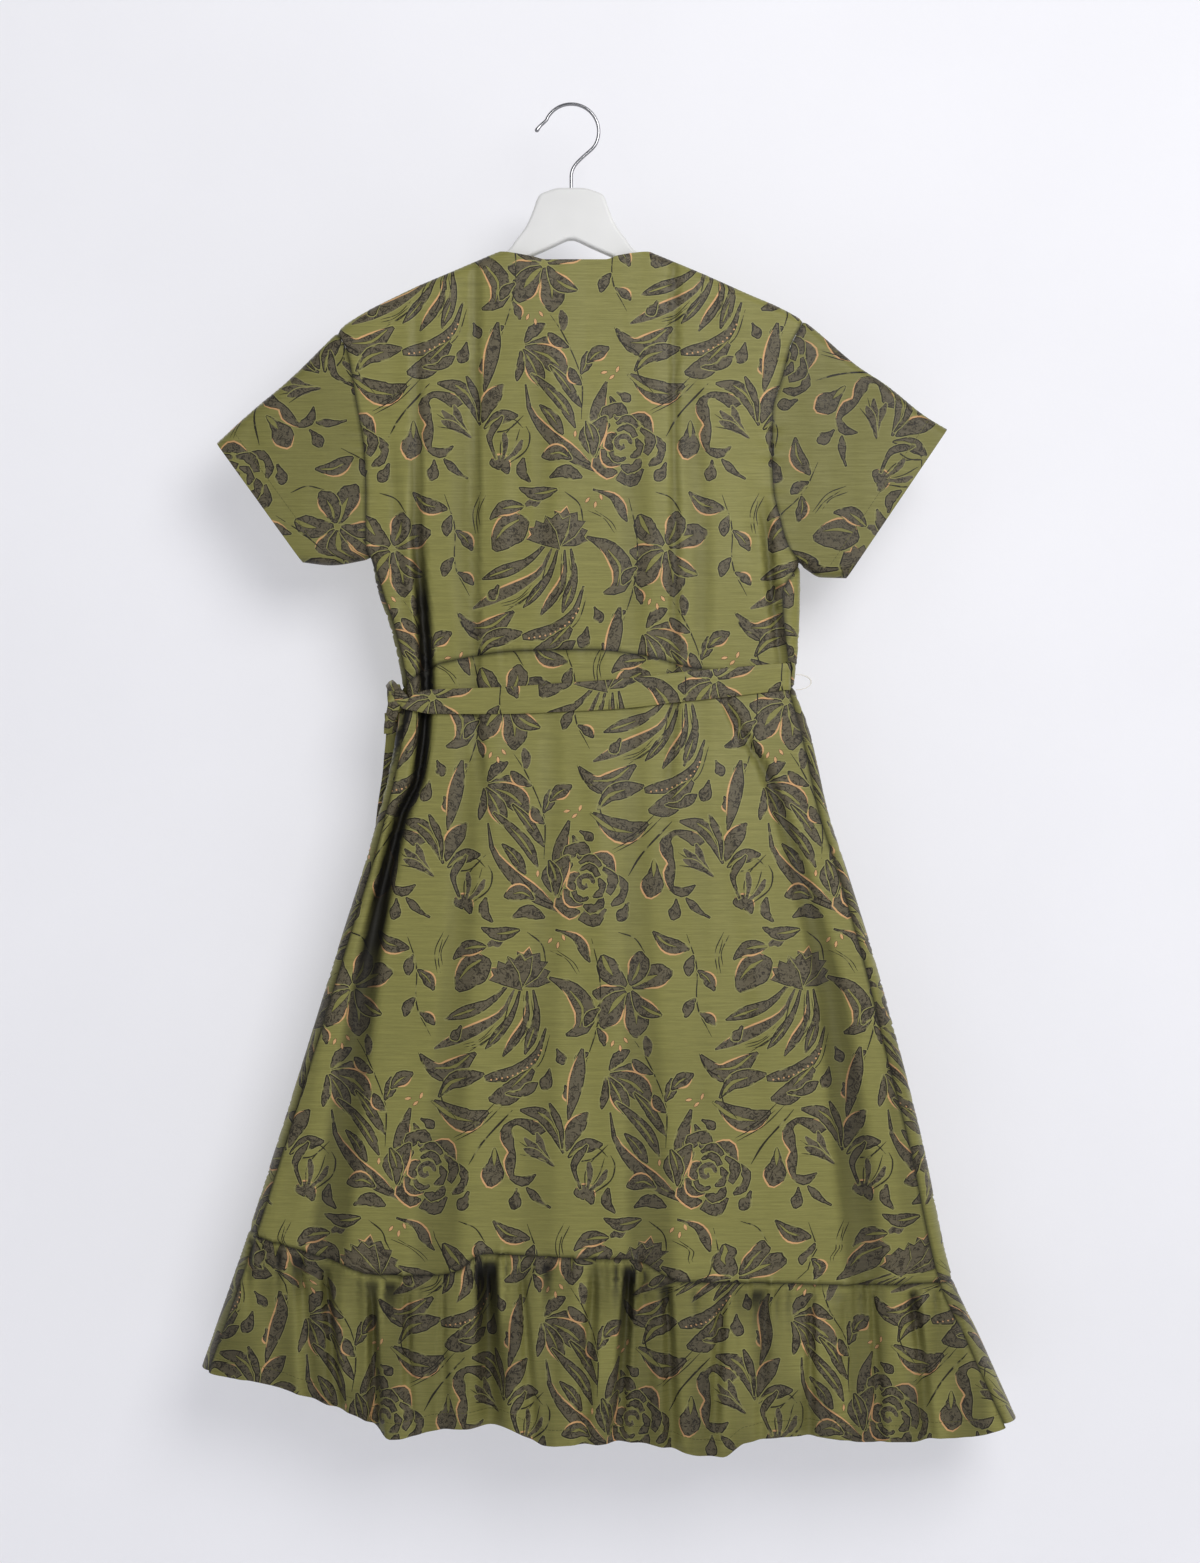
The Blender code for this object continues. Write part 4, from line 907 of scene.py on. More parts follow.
def make_panel(name, border, levels, face, motif, seams=Seams(), lift=level, step=FINE_STEP, top_rows=None,
               stitches=(), wraps=True, gap=SEAM_GAP, marks=()):
    outline = outline_of(border, *levels)
    flat = FLAT[face]
    top_margin = ROLL_MARGIN if top_rows else SEWN_MARGIN
    margin = SEWN_MARGIN if seams.left or seams.right else FREE_MARGIN
    fine = np.concatenate((inside_points(border, outline, face, step, margin, top_margin),
                           beside_edges(border, outline, seams, top_rows)))
    coarse = np.concatenate((inside_points(border, outline, face, COARSE_STEP, COARSE_MARGIN, top_margin),
                             beside_edges(border, outline, Seams(*NOT_SEWN), top_rows)))
    dip = seam_dip(border, seams._replace(top=seams.top and not top_rows))

    def lay(points, skin):
        x, z = points.T
        depth = lift(x, z) + dip(x, z) - (THICK if skin else 0)
        spots, directions = on_cloth(x, z, face, depth, wraps=wraps, gap=gap)
        own = (x > SIDE["left"](z)) & (x < SIDE["right"](z))
        deep = own & (distance_inside(x, z) > EDGE_ZONE)
        least = INNER_LEAST if skin else OUTER_LEAST
        spots[deep, 1] = face * np.maximum(face * spots[deep, 1], least)
        if not skin:
            return spots, directions
        depth = lift(x, z) - THICK - lining_drop(x, z, face)
        low, low_directions = on_cloth(x, z, face, depth, wraps=wraps, folded=False, gap=gap)
        low[own, 1] = face * np.maximum(face * low[own, 1], INNER_LEAST)
        share = smooth_step((clearance(border, x, z) - 1) / LINING_EASE)[:, None]
        return blend(spots, low, share), blend(directions, low_directions, share)

    # painted shade: that of the creases, gathers and ruffle, read on the other layer beyond a side, and that
    # of the seams' dips
    def shade(points):
        across, z = points.T
        x, beyond = round_sides(across, z)
        depth = np.where(beyond, painted_shade(x, z, -face), painted_shade(x, z, face))
        return np.maximum(depth, SEAM_SHADE * dip(across, z) / -SEAM_DIP)

    shapes = [(ink, flat.unflatten(shape)) for ink, shape in motif(flat.flatten(outline))]
    for edge, distance in stitches:
        shapes += stitch_shapes(edge, distance, border, outline)
    return shell(name, outline, fine, coarse, shapes + list(marks), lay, flat.flatten,
                 turned=face == FRONT, shade=shade)


STITCH, STITCH_PITCH, STITCH_WIDE = 2.6, 3.6, 0.7


def stitch_shapes(edge, distance, border, outline):
    """A row of stitches at a distance above the bottom edge, or beside a side edge."""
    shapes = []
    if edge == "bottom":
        start = border.left(np.float64(border.bottom(0.0)) + distance) + 3
        end = border.right(np.float64(border.bottom(0.0)) + distance) - 3
        for x in np.arange(float(start), float(end), STITCH_PITCH):
            a, b = float(border.bottom(x)) + distance, float(border.bottom(x + STITCH)) + distance
            shapes.append((THREAD, np.array([(x, a), (x + STITCH, b), (x + STITCH, b + STITCH_WIDE),
                                             (x, a + STITCH_WIDE)])))
        return shapes
    line, inward = (border.left, 1) if edge == "left" else (border.right, -1)
    for z in np.arange(outline[:, 1].min() + 6, outline[:, 1].max() - 6, STITCH_PITCH):
        a, b = float(line(z)) + inward * distance, float(line(z + STITCH)) + inward * distance
        shapes.append((THREAD, np.array([(a, z), (a + STITCH_WIDE, z), (b + STITCH_WIDE, z + STITCH),
                                         (b, z + STITCH)])))
    return shapes


# ---------------------------------------------------------------- the print

CURVE_STEPS = 11
HALO_WIDE, LINE_WIDE = 2.0, 1.1
FULLER = 1.22           # the brush spreads a little past the drawn widths
REPEAT_ACROSS, REPEAT_SHIFT, REPEAT_DOWN = 272.0, 118.0, 276.0


def bend(points, count=CURVE_STEPS):
    """A smooth course through a few points."""
    points = np.array(points, float)
    reach = reach_of(points)
    t = np.linspace(0, reach[-1], count)
    if len(points) == 2:
        return np.stack([np.interp(t, reach, points[:, i]) for i in (0, 1)], axis=1)
    held = np.concatenate((points[:1] * 2 - points[1:2], points, points[-1:] * 2 - points[-2:-1]))
    span = np.clip(np.searchsorted(reach, t, side="right") - 1, 0, len(points) - 2)
    s = ((t - reach[span]) / (reach[span + 1] - reach[span]))[:, None]
    a, b, c, d = (held[span + i] for i in range(4))
    return cubic(a, b, c, d, s)


def sideways(course):
    along = unit(np.gradient(course, axis=0))
    return pairs(-along[:, 1], along[:, 0])


def blade(points, widths, count=CURVE_STEPS):
    """A shape that follows a course, with its widths given evenly along it."""
    course = bend(points, count)
    places = np.linspace(0, len(widths) - 1, count)
    half = bend(pairs(np.arange(len(widths)), widths), 4 * count)
    half = np.interp(places, half[:, 0], half[:, 1])[:, None] / 2
    side = sideways(course) * np.maximum(half, 0.12)
    return np.concatenate((course - side, (course + side)[::-1]))


def rounded(points, count=5):
    """A closed smooth shape through its points."""
    points = np.array(points, float)
    a, b, c, d = (np.roll(points, shift, axis=0) for shift in (1, 0, -1, -2))
    parts = [cubic(a, b, c, d, s) for s in np.arange(count) / count]
    return np.stack(parts, axis=1).reshape(-1, 2)


SHARP = 0.3             # where a shape's edge turns more sharply than this, it has a tip


def grow(shape, distance):
    """The shape with its edge moved outward."""
    sense = 1 if area_of(shape) > 0 else -1
    before, after = shape - np.roll(shape, 1, axis=0), np.roll(shape, -1, axis=0) - shape
    unit_before, unit_after = unit(before), unit(after)
    along = unit_before + unit_after
    length = np.linalg.norm(along, axis=1, keepdims=True)
    along = np.where(length < SHARP, unit_before - unit_after, along / np.maximum(length, SHARP))
    outward_way = pairs(along[:, 1], -along[:, 0]) * sense
    tip = length[:, 0] < SHARP
    outward_way[tip] = along[tip] / np.maximum(np.linalg.norm(along[tip], axis=1, keepdims=True), 1e-9)
    return shape + outward_way * distance


def shaky(shape, amount=0.45):
    """The shape with the unsteady edge of a brush."""
    x, y = shape.T
    push = np.sin(0.9 * x + 1.3 * np.sin(0.31 * y)) + np.sin(1.1 * y + 1.7 * np.sin(0.23 * x))
    return grow(shape, 1.0) * (0.5 * amount * push[:, None]) + shape * (1 - 0.5 * amount * push[:, None])


def inked(shape):
    """A dark shape inside its black line and pale edge."""
    shape = shaky(shape)
    return [(HALO, grow(shape, HALO_WIDE)), (LINE, grow(shape, LINE_WIDE)), (FILL, shape)]


def glint(shape, start, end):
    """A thin peach line outside a part of a shape's edge, given as shares round it."""
    count = len(shape)
    near, far = grow(shape, 0.5), grow(shape, 2.3)
    numbers = np.arange(int(start * count), int(end * count) + 1) % count
    if len(numbers) < 3:
        return []
    fade = np.sin(np.linspace(0.12, math.pi - 0.12, len(numbers)))[:, None]
    return [(PEACH, np.concatenate((near[numbers], (near[numbers] + (far[numbers] - near[numbers])
                                                    * fade)[::-1])))]


def along(course, start, end):
    """Three points of a course between two shares of its length, which may run a little past its ends."""
    ends = np.concatenate((course[:1] * 2 - course[1:2], course, course[-1:] * 2 - course[-2:-1]))
    places = np.linspace(start, end, 3) * (len(course) - 1) + 1
    return np.stack([np.interp(places, np.arange(len(ends)), ends[:, i]) for i in (0, 1)], axis=1)


def slit(course, start, end, wide, shift=0.0):
    """A cut of bare ground in a shape, narrow at its start."""
    way = along(course, start, end)
    way = way + sideways(way) * shift
    shape = blade(way, (0.15, 0.8 * wide, wide, 0.35 * wide), 7)
    return [(LINE, grow(shape, 0.5)), (GROUND, shape)]


LEAF = (0.06, 0.62, 1.0, 0.84, 0.1)
CLUB = (0.05, 0.26, 0.55, 0.95, 0.9, 0.2)
FORK = (0.15, 0.62, 0.86, 1.0, 0.85, 0.15)


def leaf(points, width, cut=(), peach=None, form=LEAF):
    """A leaf or petal; cut holds the start, end, width and shift of its slit."""
    shape = blade(points, [share * width * FULLER for share in form])
    drawn = inked(shape)
    if peach:
        drawn += glint(shape, *peach)
    if cut:
        start, end, wide, *shift = cut
        drawn += slit(bend(points), start, end, wide * width, (shift[0] if shift else 0) * width)
    return drawn


def sweep(points, width, peach=None):
    """A long tapered stroke, thickest past its middle."""
    return leaf(points, width, (), peach, (0.04, 0.3, 0.75, 1.0, 0.06))


def thread(points, width=1.2):
    return [(LINE, blade(points, (0.3 * width, width, 0.75 * width, width, 0.25 * width), 12))]


def hatching(points, count, apart, width=0.9):
    """Thin strokes side by side, each a little shorter than the last."""
    course = bend(points, 7)
    side = sideways(course)
    drawn = []
    for number in range(count):
        part = (course + side * apart * number)[number % 2:7 - number // 2]
        drawn += thread(part[[0, len(part) // 2, -1]], width)
    return drawn


def drop(x, y, angle, length, peach=False, tail=True):
    way = way_at(angle)
    side = left_of(way)
    foot = np.array((x, y)) - way * length * 0.6
    head = np.array((x, y)) + way * length * 0.4
    middle = (foot + head) / 2 + side * 0.05 * length
    return leaf((foot, middle, head), 0.46 * length, (0.46, 0.0, 0.24) if tail and length > 20 else (),
                (0.3, 0.6) if peach else None, CLUB)


def seeds(x, y, turn):
    """Three small peach seeds."""
    drawn = []
    for number, (dx, dy) in enumerate(((0, 0), (7.5, -4.5), (13, 3))):
        angle = turn + 0.5 * number
        way = way_at(angle)
        middle = np.array((x + dx, y + dy))
        shape = blade((middle - way * 3, middle, middle + way * 3), (0.7, 2.8, 0.8), 6)
        drawn += [(LINE, grow(shape, 0.4)), (PEACH, shape)]
    return drawn


def beaded(points, width):
    """A curved stroke with a row of pale beads."""
    course = bend(points, 17)
    drawn = inked(blade(points, [share * width for share in (0.02, 0.25, 0.7, 1.0, 0.95, 0.35)], 15))
    side = sideways(course)
    around = np.linspace(0, 2 * math.pi, 6)[:-1]
    ring = 0.95 * pairs(np.cos(around), np.sin(around))
    for number in range(4, 16):
        drawn.append((PEACH, course[number] + side[number] * width * 0.2 + ring))
    return drawn


def bunch(x, y, petals):
    """Petals that spring from one place: angle, length, width, bend, slit and peach line of each."""
    drawn = []
    for angle, length, width, bow, cut, peach in petals:
        way = way_at(angle)
        side = left_of(way)
        start = np.array((x, y)) + way * 4.5
        points = (start, start + way * length * 0.5 + side * bow * length, start + way * length)
        drawn += leaf(points, width, cut, peach, FORK if width > 0.34 * length else LEAF)
    return drawn


OPEN_FOOT, OPEN_TIP, INNER = (0.66, 0.02, 0.26), (0.42, 1.0, 0.26), (0.72, 0.12, 0.17)
LOWER, UPPER = (0.1, 0.42), (0.58, 0.88)


def ragged(x, y, angle, reach):
    """A frilled flower seen from the side: petals with torn ends, parted by pale cuts."""
    drawn = []
    for number, (share, long, wide) in enumerate(((-0.9, 0.8, 0.5), (-0.36, 1.0, 0.56), (0.2, 0.86, 0.6),
                                                  (0.82, 0.94, 0.5))):
        way = angle + share
        along_way = way_at(way)
        side = left_of(along_way)
        ring = [np.array((x, y)) + along_way * a * reach * long + side * b * reach * wide for a, b in
                ((0, 0.1), (0.5, 0.5), (0.86, 0.78), (0.84, 0.46), (1.04, 0.3), (0.9, 0.08), (1.0, -0.24),
                 (0.78, -0.36), (0.84, -0.7), (0.4, -0.42))]
        drawn += inked(np.array(ring)) + (glint(np.array(ring), 0.2, 0.5) if number % 2 else [])
    return drawn


def rose(x, y, radius, turn):
    """Rings of broken crescent petals round a small spiral."""
    drawn = []
    rings = ((1.0, 6, 0.25, 0.0), (0.7, 5, 0.2, 0.5), (0.44, 4, 0.15, 0.2))
    for number, (share, count, thick, shift) in enumerate(rings):
        for petal in range(count):
            start = turn + shift + 2 * math.pi * petal / count
            span = 2 * math.pi / count * (0.92, 0.74, 0.84)[(petal + number) % 3]
            angles = start + np.linspace(0, span, 4)
            size = radius * share * (0.93 + 0.09 * ((petal * 7 + number) % 3))
            bulge = size * (0.84 + 0.16 * np.sin(np.linspace(0, math.pi, 4)))
            course = pairs(x + bulge * np.cos(angles), y + bulge * np.sin(angles))
            wide = radius * thick * (1.0, 1.25, 0.8)[petal % 3]
            form = (0.2, 1.1, 0.7, 1.1, 0.2) if petal % 2 else (0.9, 0.8, 1.1, 0.5, 0.3)
            shape = blade(course, [wide * width for width in form], 8)
            drawn += inked(shape) + (glint(shape, 0.05, 0.45) if (petal + number) % 3 == 0 else [])
    spiral = [(x + radius * r * math.cos(a), y + radius * r * math.sin(a))
              for r, a in ((0.27, 0.0), (0.25, 1.2), (0.21, 2.4), (0.15, 3.8), (0.08, 5.2), (0.02, 6.4))]
    return drawn + inked(blade(spiral, (0.5, 0.09 * radius, 0.07 * radius, 0.09 * radius, 0.4), 13))


def ribbon_bloom(x, y, radius, turn):
    """A bloom drawn as one wavy ribbon that swells and thins, with leaves and fine lines from its base."""
    angles = turn + np.linspace(-2.3, 2.3, 13)
    size = radius * (0.84 + 0.2 * np.cos(3.4 * (angles - turn) + 0.6))
    course = pairs(x + size * np.cos(angles), y + size * np.sin(angles))
    shape = blade(course, (0.3, 8.5, 4, 11, 6, 4.5, 11.5, 5, 9.5, 4, 8, 0.3), 30)
    drawn = inked(shape) + glint(shape, 0.04, 0.16) + glint(shape, 0.26, 0.4)
    base = np.array((x, y)) - radius * 0.8 * way_at(turn)
    for number, way in enumerate((-1.15, -0.7, -0.3, 0.1, 0.5, 0.95)):
        angle = turn + way
        reach = radius * (0.5, 0.28, 0.42)[number % 3]
        tip = np.array((x, y)) + reach * way_at(angle)
        middle = (base + tip) / 2 + 3 * np.array((math.sin(turn), -math.cos(turn))) * way
        drawn += thread((base, middle, tip)) if number % 2 else sweep((base, middle, tip), 4.6)
    return drawn


def tulip(x, y, size, turn):
    """A cup drawn in line, with stamens, on a dark foot."""
    way = way_at(turn)
    side = left_of(way)

    def at(a, b):
        return np.array((x, y)) + way * a * size + side * b * size

    drawn = leaf((at(-0.12, -0.2), at(0.06, -0.02), at(-0.04, 0.24)), 0.24 * size, (), LOWER, FORK)
    drawn += sweep((at(0.1, 0.16), at(0.5, 0.46), at(1.0, 0.36)), 0.11 * size)
    drawn += thread((at(0.08, -0.14), at(0.5, -0.4), at(0.84, -0.36), at(1.0, -0.2)), 1.6)
    drawn += thread((at(0.1, 0.04), at(0.5, 0.18), at(0.96, 0.06)))
    drawn += thread((at(0.1, -0.04), at(0.5, -0.12), at(0.9, -0.1)))
    drawn += sweep((at(0.12, 0.0), at(0.42, 0.06), at(0.72, 0.2)), 0.07 * size)
    drawn += sweep((at(0.14, -0.06), at(0.4, -0.2), at(0.66, -0.24)), 0.07 * size)
    return drawn + thread((at(0.9, 0.3), at(1.04, 0.1), at(0.94, -0.16)))


def fan(starts, bends, ends, widths):
    drawn = []
    for number, (start, middle, end, width) in enumerate(zip(starts, bends, ends, widths)):
        drawn += sweep((start, middle, end), width, LOWER if number % 2 else None)
        if number % 2 == 0:
            drawn += slit(bend((start, middle, end)), 0.58, 0.9, 0.22 * width)
    return drawn


def spray(points, leaves):
    """A stem with leaves beside it: share along the stem, angle to it, length and width of each."""
    course = bend(points, 21)
    drawn = thread(points, 1.5)
    way = np.gradient(course, axis=0)
    for share, angle, length, width in leaves:
        number = int(share * 20)
        ahead = math.atan2(way[number, 1], way[number, 0])
        out = way_at(ahead + angle)
        tip_way = way_at(ahead + 0.5 * angle)
        start = course[number] + out * 1.5
        drawn += leaf((start, start + out * length * 0.5, start + (out + tip_way) * length * 0.5), width,
                      INNER if width > 7 else (), UPPER if angle > 0 else None)
    return drawn


def draw_repeat():
    """One repeat of the print, about 272 by 276 mm, y upwards."""
    drawn = []
    # the great fan with its frilled head
    drawn += fan([(112, -54), (116, -60), (121, -62), (128, -63), (134, -62)],
                 [(90, -74), (98, -88), (112, -88), (126, -92), (137, -88)],
                 [(48, -90), (38, -118), (88, -118), (104, -126), (126, -122)], [8.5, 8.0, 6.0, 6.0, 7.5])
    drawn += thread(((112, -66), (102, -98), (70, -122))) + thread(((125, -66), (123, -98), (112, -114)))
    drawn += hatching(((96, -96), (84, -108), (66, -114)), 3, 2.6)
    drawn += hatching(((132, -70), (134, -92), (122, -112)), 2, -3)
    drawn += ragged(124, -60, 1.62, 37)
    # a bud over it, and the loose leaves between the flowers
    drawn += leaf(((60, -62), (74, -44), (92, -34)), 24, (0.2, 0.85, 0.12, 0.2), UPPER, FORK)
    drawn += leaf(((56, -32), (68, -22), (88, -20)), 10, OPEN_TIP, LOWER) + drop(98, -16, 0.4, 16)
    drawn += bunch(226, -60, ((0.35, 40, 17, 0.08, OPEN_FOOT, LOWER), (1.25, 32, 15, -0.1, INNER, UPPER),
                              (2.25, 36, 16, 0.12, OPEN_TIP, None), (3.25, 30, 12, 0.1, (), LOWER),
                              (4.1, 40, 19, -0.08, OPEN_FOOT, UPPER), (4.85, 42, 18, 0.1, INNER, LOWER),
                              (5.6, 36, 11, -0.14, OPEN_TIP, UPPER)))
    drawn += leaf(((150, -50), (170, -60), (184, -80), (180, -98), (166, -104)), 15, (0.8, 0.3, 0.16, 0.12),
                  LOWER)
    drawn += spray(((190, -12), (198, -50), (196, -92), (184, -132)),
                   ((0.55, -0.8, 20, 6), (0.72, 0.8, 17, 5), (0.9, -0.7, 17, 6)))
    drawn += leaf(((24, -124), (40, -140), (56, -138), (78, -122)), 14, (0.3, 0.92, 0.18, 0.14), UPPER)
    drawn += leaf(((42, -164), (54, -150), (70, -145), (86, -142)), 12, OPEN_FOOT)
    drawn += leaf(((38, -168), (54, -180), (72, -186), (90, -178)), 17, (0.75, -0.04, 0.22, 0.12), LOWER)
    drawn += thread(((22, -122), (28, -136), (46, -148), (44, -166), (60, -186)), 1.4)
    drawn += beaded(((146, -98), (136, -124), (116, -140), (88, -146)), 11)
    drawn += thread(((150, -104), (140, -132), (118, -148)))
    drawn += leaf(((134, -138), (118, -154), (108, -162), (92, -166)), 15, (0.5, -0.05, 0.14, 0.2), None,
                  FORK)
    drawn += sweep(((108, -160), (122, -160), (138, -150)), 7)
    drawn += hatching(((104, -172), (86, -190), (58, -206)), 3, -3.4, 1.1)
    drawn += thread(((114, -176), (86, -206), (72, -228)), 2.0)
    drawn += drop(146, -148, -1.9, 20) + drop(166, -160, -1.4, 13, True) + drop(94, -234, -1.7, 36, True)
    drawn += drop(116, -262, -1.75, 19) + drop(66, -264, -2.1, 19) + drop(32, -190, -0.6, 14)
    drawn += leaf(((168, -184), (174, -156), (181, -118)), 10, (), UPPER)
    drawn += leaf(((18, -190), (26, -206), (34, -218)), 8, INNER)
    # the pointed flower at the right
    drawn += bunch(204, -140, ((0.12, 36, 11, -0.05, (), None),
                               (-0.55, 46, 17, 0.1, (0.15, 0.8, 0.16), UPPER),
                               (-1.12, 40, 12, 0.04, INNER, LOWER), (0.75, 26, 8, 0.1, (), None),
                               (-1.7, 30, 5, 0.05, (), None)))
    drawn += rose(30, -236, 35, 0.4)
    drawn += bunch(2, -252, ((1.3, 40, 12, 0.12, INNER, LOWER), (1.75, 34, 8, -0.1, OPEN_TIP, None)))
    drawn += ribbon_bloom(134, -214, 32, 2.5)
    drawn += leaf(((163, -216), (154, -194), (142, -180), (122, -176)), 10.5, (0.25, 0.75, 0.22, -0.1))
    drawn += leaf(((166, -214), (172, -196), (186, -178)), 12, (), UPPER)
    drawn += sweep(((162, -212), (160, -192), (150, -170)), 5)
    drawn += leaf(((168, -220), (182, -210), (200, -208)), 9.5, OPEN_FOOT)
    drawn += thread(((170, -224), (190, -222), (206, -208)), 1.5)
    drawn += tulip(184, -256, 44, 1.2)
    # the long curve down to the next repeat
    drawn += sweep(((208, -178), (214, -206), (238, -234), (276, -262)), 11, UPPER)
    drawn += thread(((236, -226), (258, -250), (286, -260)), 1.5)
    drawn += leaf(((222, -198), (234, -210), (244, -226)), 8, INNER)
    drawn += leaf(((214, -168), (230, -182), (246, -200), (256, -220)), 8, (0.3, 0.8, 0.3))
    drawn += leaf(((232, -160), (246, -176), (262, -200)), 7, OPEN_FOOT)
    drawn += leaf(((252, -250), (240, -244), (224, -248)), 11, INNER, LOWER)
    drawn += leaf(((232, -268), (246, -262), (262, -268)), 9)
    drawn += spray(((262, -212), (262, -172), (246, -132), (232, -110)),
                   ((0.3, 0.7, 20, 7), (0.42, -0.7, 22, 8), (0.66, 0.7, 24, 7), (0.82, -0.6, 20, 6)))
    drawn += leaf(((268, -156), (276, -148), (288, -142)), 10, INNER, LOWER)
    drawn += leaf(((286, -176), (278, -206), (282, -244)), 12, (0.45, 1.04, 0.3), UPPER)
    drawn += seeds(210, -112, 1.2) + seeds(256, -226, 1.5) + seeds(12, -166, 0.2) + seeds(150, -14, 0.9)
    # sprigs that close the gaps above and below
    drawn += spray(((10, -8), (20, -40), (20, -76), (34, -106)), ((0.2, -0.7, 20, 7), (0.36, 0.8, 24, 8),
                                                                  (0.6, -0.7, 20, 7), (0.78, 0.7, 18, 6)))
    drawn += sweep(((156, -4), (176, -12), (188, -34)), 7, UPPER)
    drawn += leaf(((84, -2), (100, -8), (120, -4)), 9, OPEN_TIP)
    drawn += leaf(((250, -6), (264, -18), (284, -22)), 11, INNER, LOWER)
    drawn += drop(58, -104, -2.2, 15)
    drawn += drop(160, -126, -1.2, 15)
    drawn += hatching(((46, -6), (38, -22), (40, -46)), 3, 3.0, 1.1)
    drawn += hatching(((150, -24), (166, -32), (176, -46)), 2, 3.0)
    drawn += thread(((128, -6), (142, -18), (146, -36)), 1.5)
    drawn += thread(((216, -6), (232, -12), (242, -26)), 1.4)
    drawn += sweep(((150, -268), (140, -262), (128, -250)), 5)
    drawn += leaf(((212, -272), (204, -262), (206, -250)), 7)
    return drawn


Shape = namedtuple("Shape", "ink ring low high")
REPEAT = [Shape(ink, ring, ring.min(axis=0), ring.max(axis=0)) for ink, ring in draw_repeat()]


def print_at(shift_x, shift_y, turn=0.0):
    """The print as it falls on one cut piece, for an outline in the flat cloth's coordinates."""
    cosine, sine = math.cos(turn), math.sin(turn)
    spin = np.array(((cosine, sine), (-sine, cosine)))      # rows times this turn by the angle

    def shapes_in(outline):
        placed = (outline - (shift_x, shift_y)) @ spin.T
        low, high = placed.min(axis=0), placed.max(axis=0)
        found = []
        for row in range(int(-high[1] // REPEAT_DOWN) - 1, int(-low[1] // REPEAT_DOWN) + 2):
            shift = row * REPEAT_SHIFT
            first = int((low[0] - shift) // REPEAT_ACROSS) - 1
            last = int((high[0] - shift) // REPEAT_ACROSS) + 2
            for column in range(first, last):
                move = np.array((column * REPEAT_ACROSS + shift, -row * REPEAT_DOWN))
                for shape in REPEAT:
                    if np.all(shape.low + move < high) and np.all(shape.high + move > low):
                        found.append((shape.ink, (shape.ring + move) @ spin + (shift_x, shift_y)))
        return found
    return shapes_in


# ---------------------------------------------------------------- materials


def linear(*srgb):
    return tuple(c / 255 / 12.92 if c <= 10.3 else ((c / 255 + 0.055) / 1.055) ** 2.4
                 for c in srgb) + (1.0,)


class Nodes:
    """A short way to write a material's nodes."""

    def __init__(self, name):
        self.material = bpy.data.materials.new(name)
        self.material.use_nodes = True
        self.tree = self.material.node_tree
        self.shader = self.tree.nodes["Principled BSDF"]
        self.output = self.tree.nodes["Material Output"]

    def add(self, kind, inputs=None, **settings):
        node = self.tree.nodes.new("ShaderNode" + kind)
        for name, value in settings.items():
            setattr(node, name, value)
        for name, value in (inputs or {}).items():
            self.join(node.inputs[name], value)
        return node

    def join(self, socket, value):
        if isinstance(value, bpy.types.NodeSocket):
            self.tree.links.new(value, socket)
        else:
            socket.default_value = value

    def math(self, kind, a, b=0.0, c=0.0):
        node = self.add("Math", operation=kind)
        for socket, value in zip(node.inputs, (a, b, c)):
            self.join(socket, value)
        return node.outputs[0]

    def noise(self, place, scale, detail=2.0, roughness=0.5, distortion=0.0):
        node = self.add("TexNoise", {"Vector": place, "Scale": scale, "Detail": detail,
                                     "Roughness": roughness, "Distortion": distortion})
        return node.outputs["Fac"]

    def stretched(self, place, x, y, z=1.0):
        return self.add("Mapping", {"Vector": place, "Scale": (x, y, z)}).outputs[0]

    def mix(self, share, a, b, blend_type="MIX"):
        node = self.add("Mix", data_type="RGBA", blend_type=blend_type)
        self.join(node.inputs[0], share)
        self.join(node.inputs[6], a)
        self.join(node.inputs[7], b)
        return node.outputs[2]

    def span(self, value, low, high, start=0.0, end=1.0):
        node = self.add("MapRange", {"Value": value, "From Min": low, "From Max": high, "To Min": start,
                                     "To Max": end})
        return node.outputs[0]

    def relief(self, height, distance, strength=1.0, normal=None):
        node = self.add("Bump", {"Height": height, "Distance": distance, "Strength": strength})
        if normal is not None:
            self.join(node.inputs["Normal"], normal)
        return node.outputs[0]

    def set(self, **values):
        for name, value in values.items():
            self.join(self.shader.inputs[name.replace("_", " ")], value)
        return self.material


INK_COLOURS = {
    GROUND: linear(125, 122, 67),
    HALO: linear(136, 133, 80),
    LINE: linear(34, 29, 19),
    FILL: linear(91, 84, 66),
    PEACH: linear(198, 154, 106),
    THREAD: linear(96, 93, 50),
    WRONG_SIDE: linear(118, 116, 70),
    # near-black painted shade where the belt goes into the side seam
    SLIT_SHADE: linear(14, 13, 9),
}
SCRATCH = 38, 33, 25
WORN = 118, 109, 78
# the colour that the painted shade darkens towards, at its deepest
PAINTED_SHADE_COLOUR = 44, 41, 28


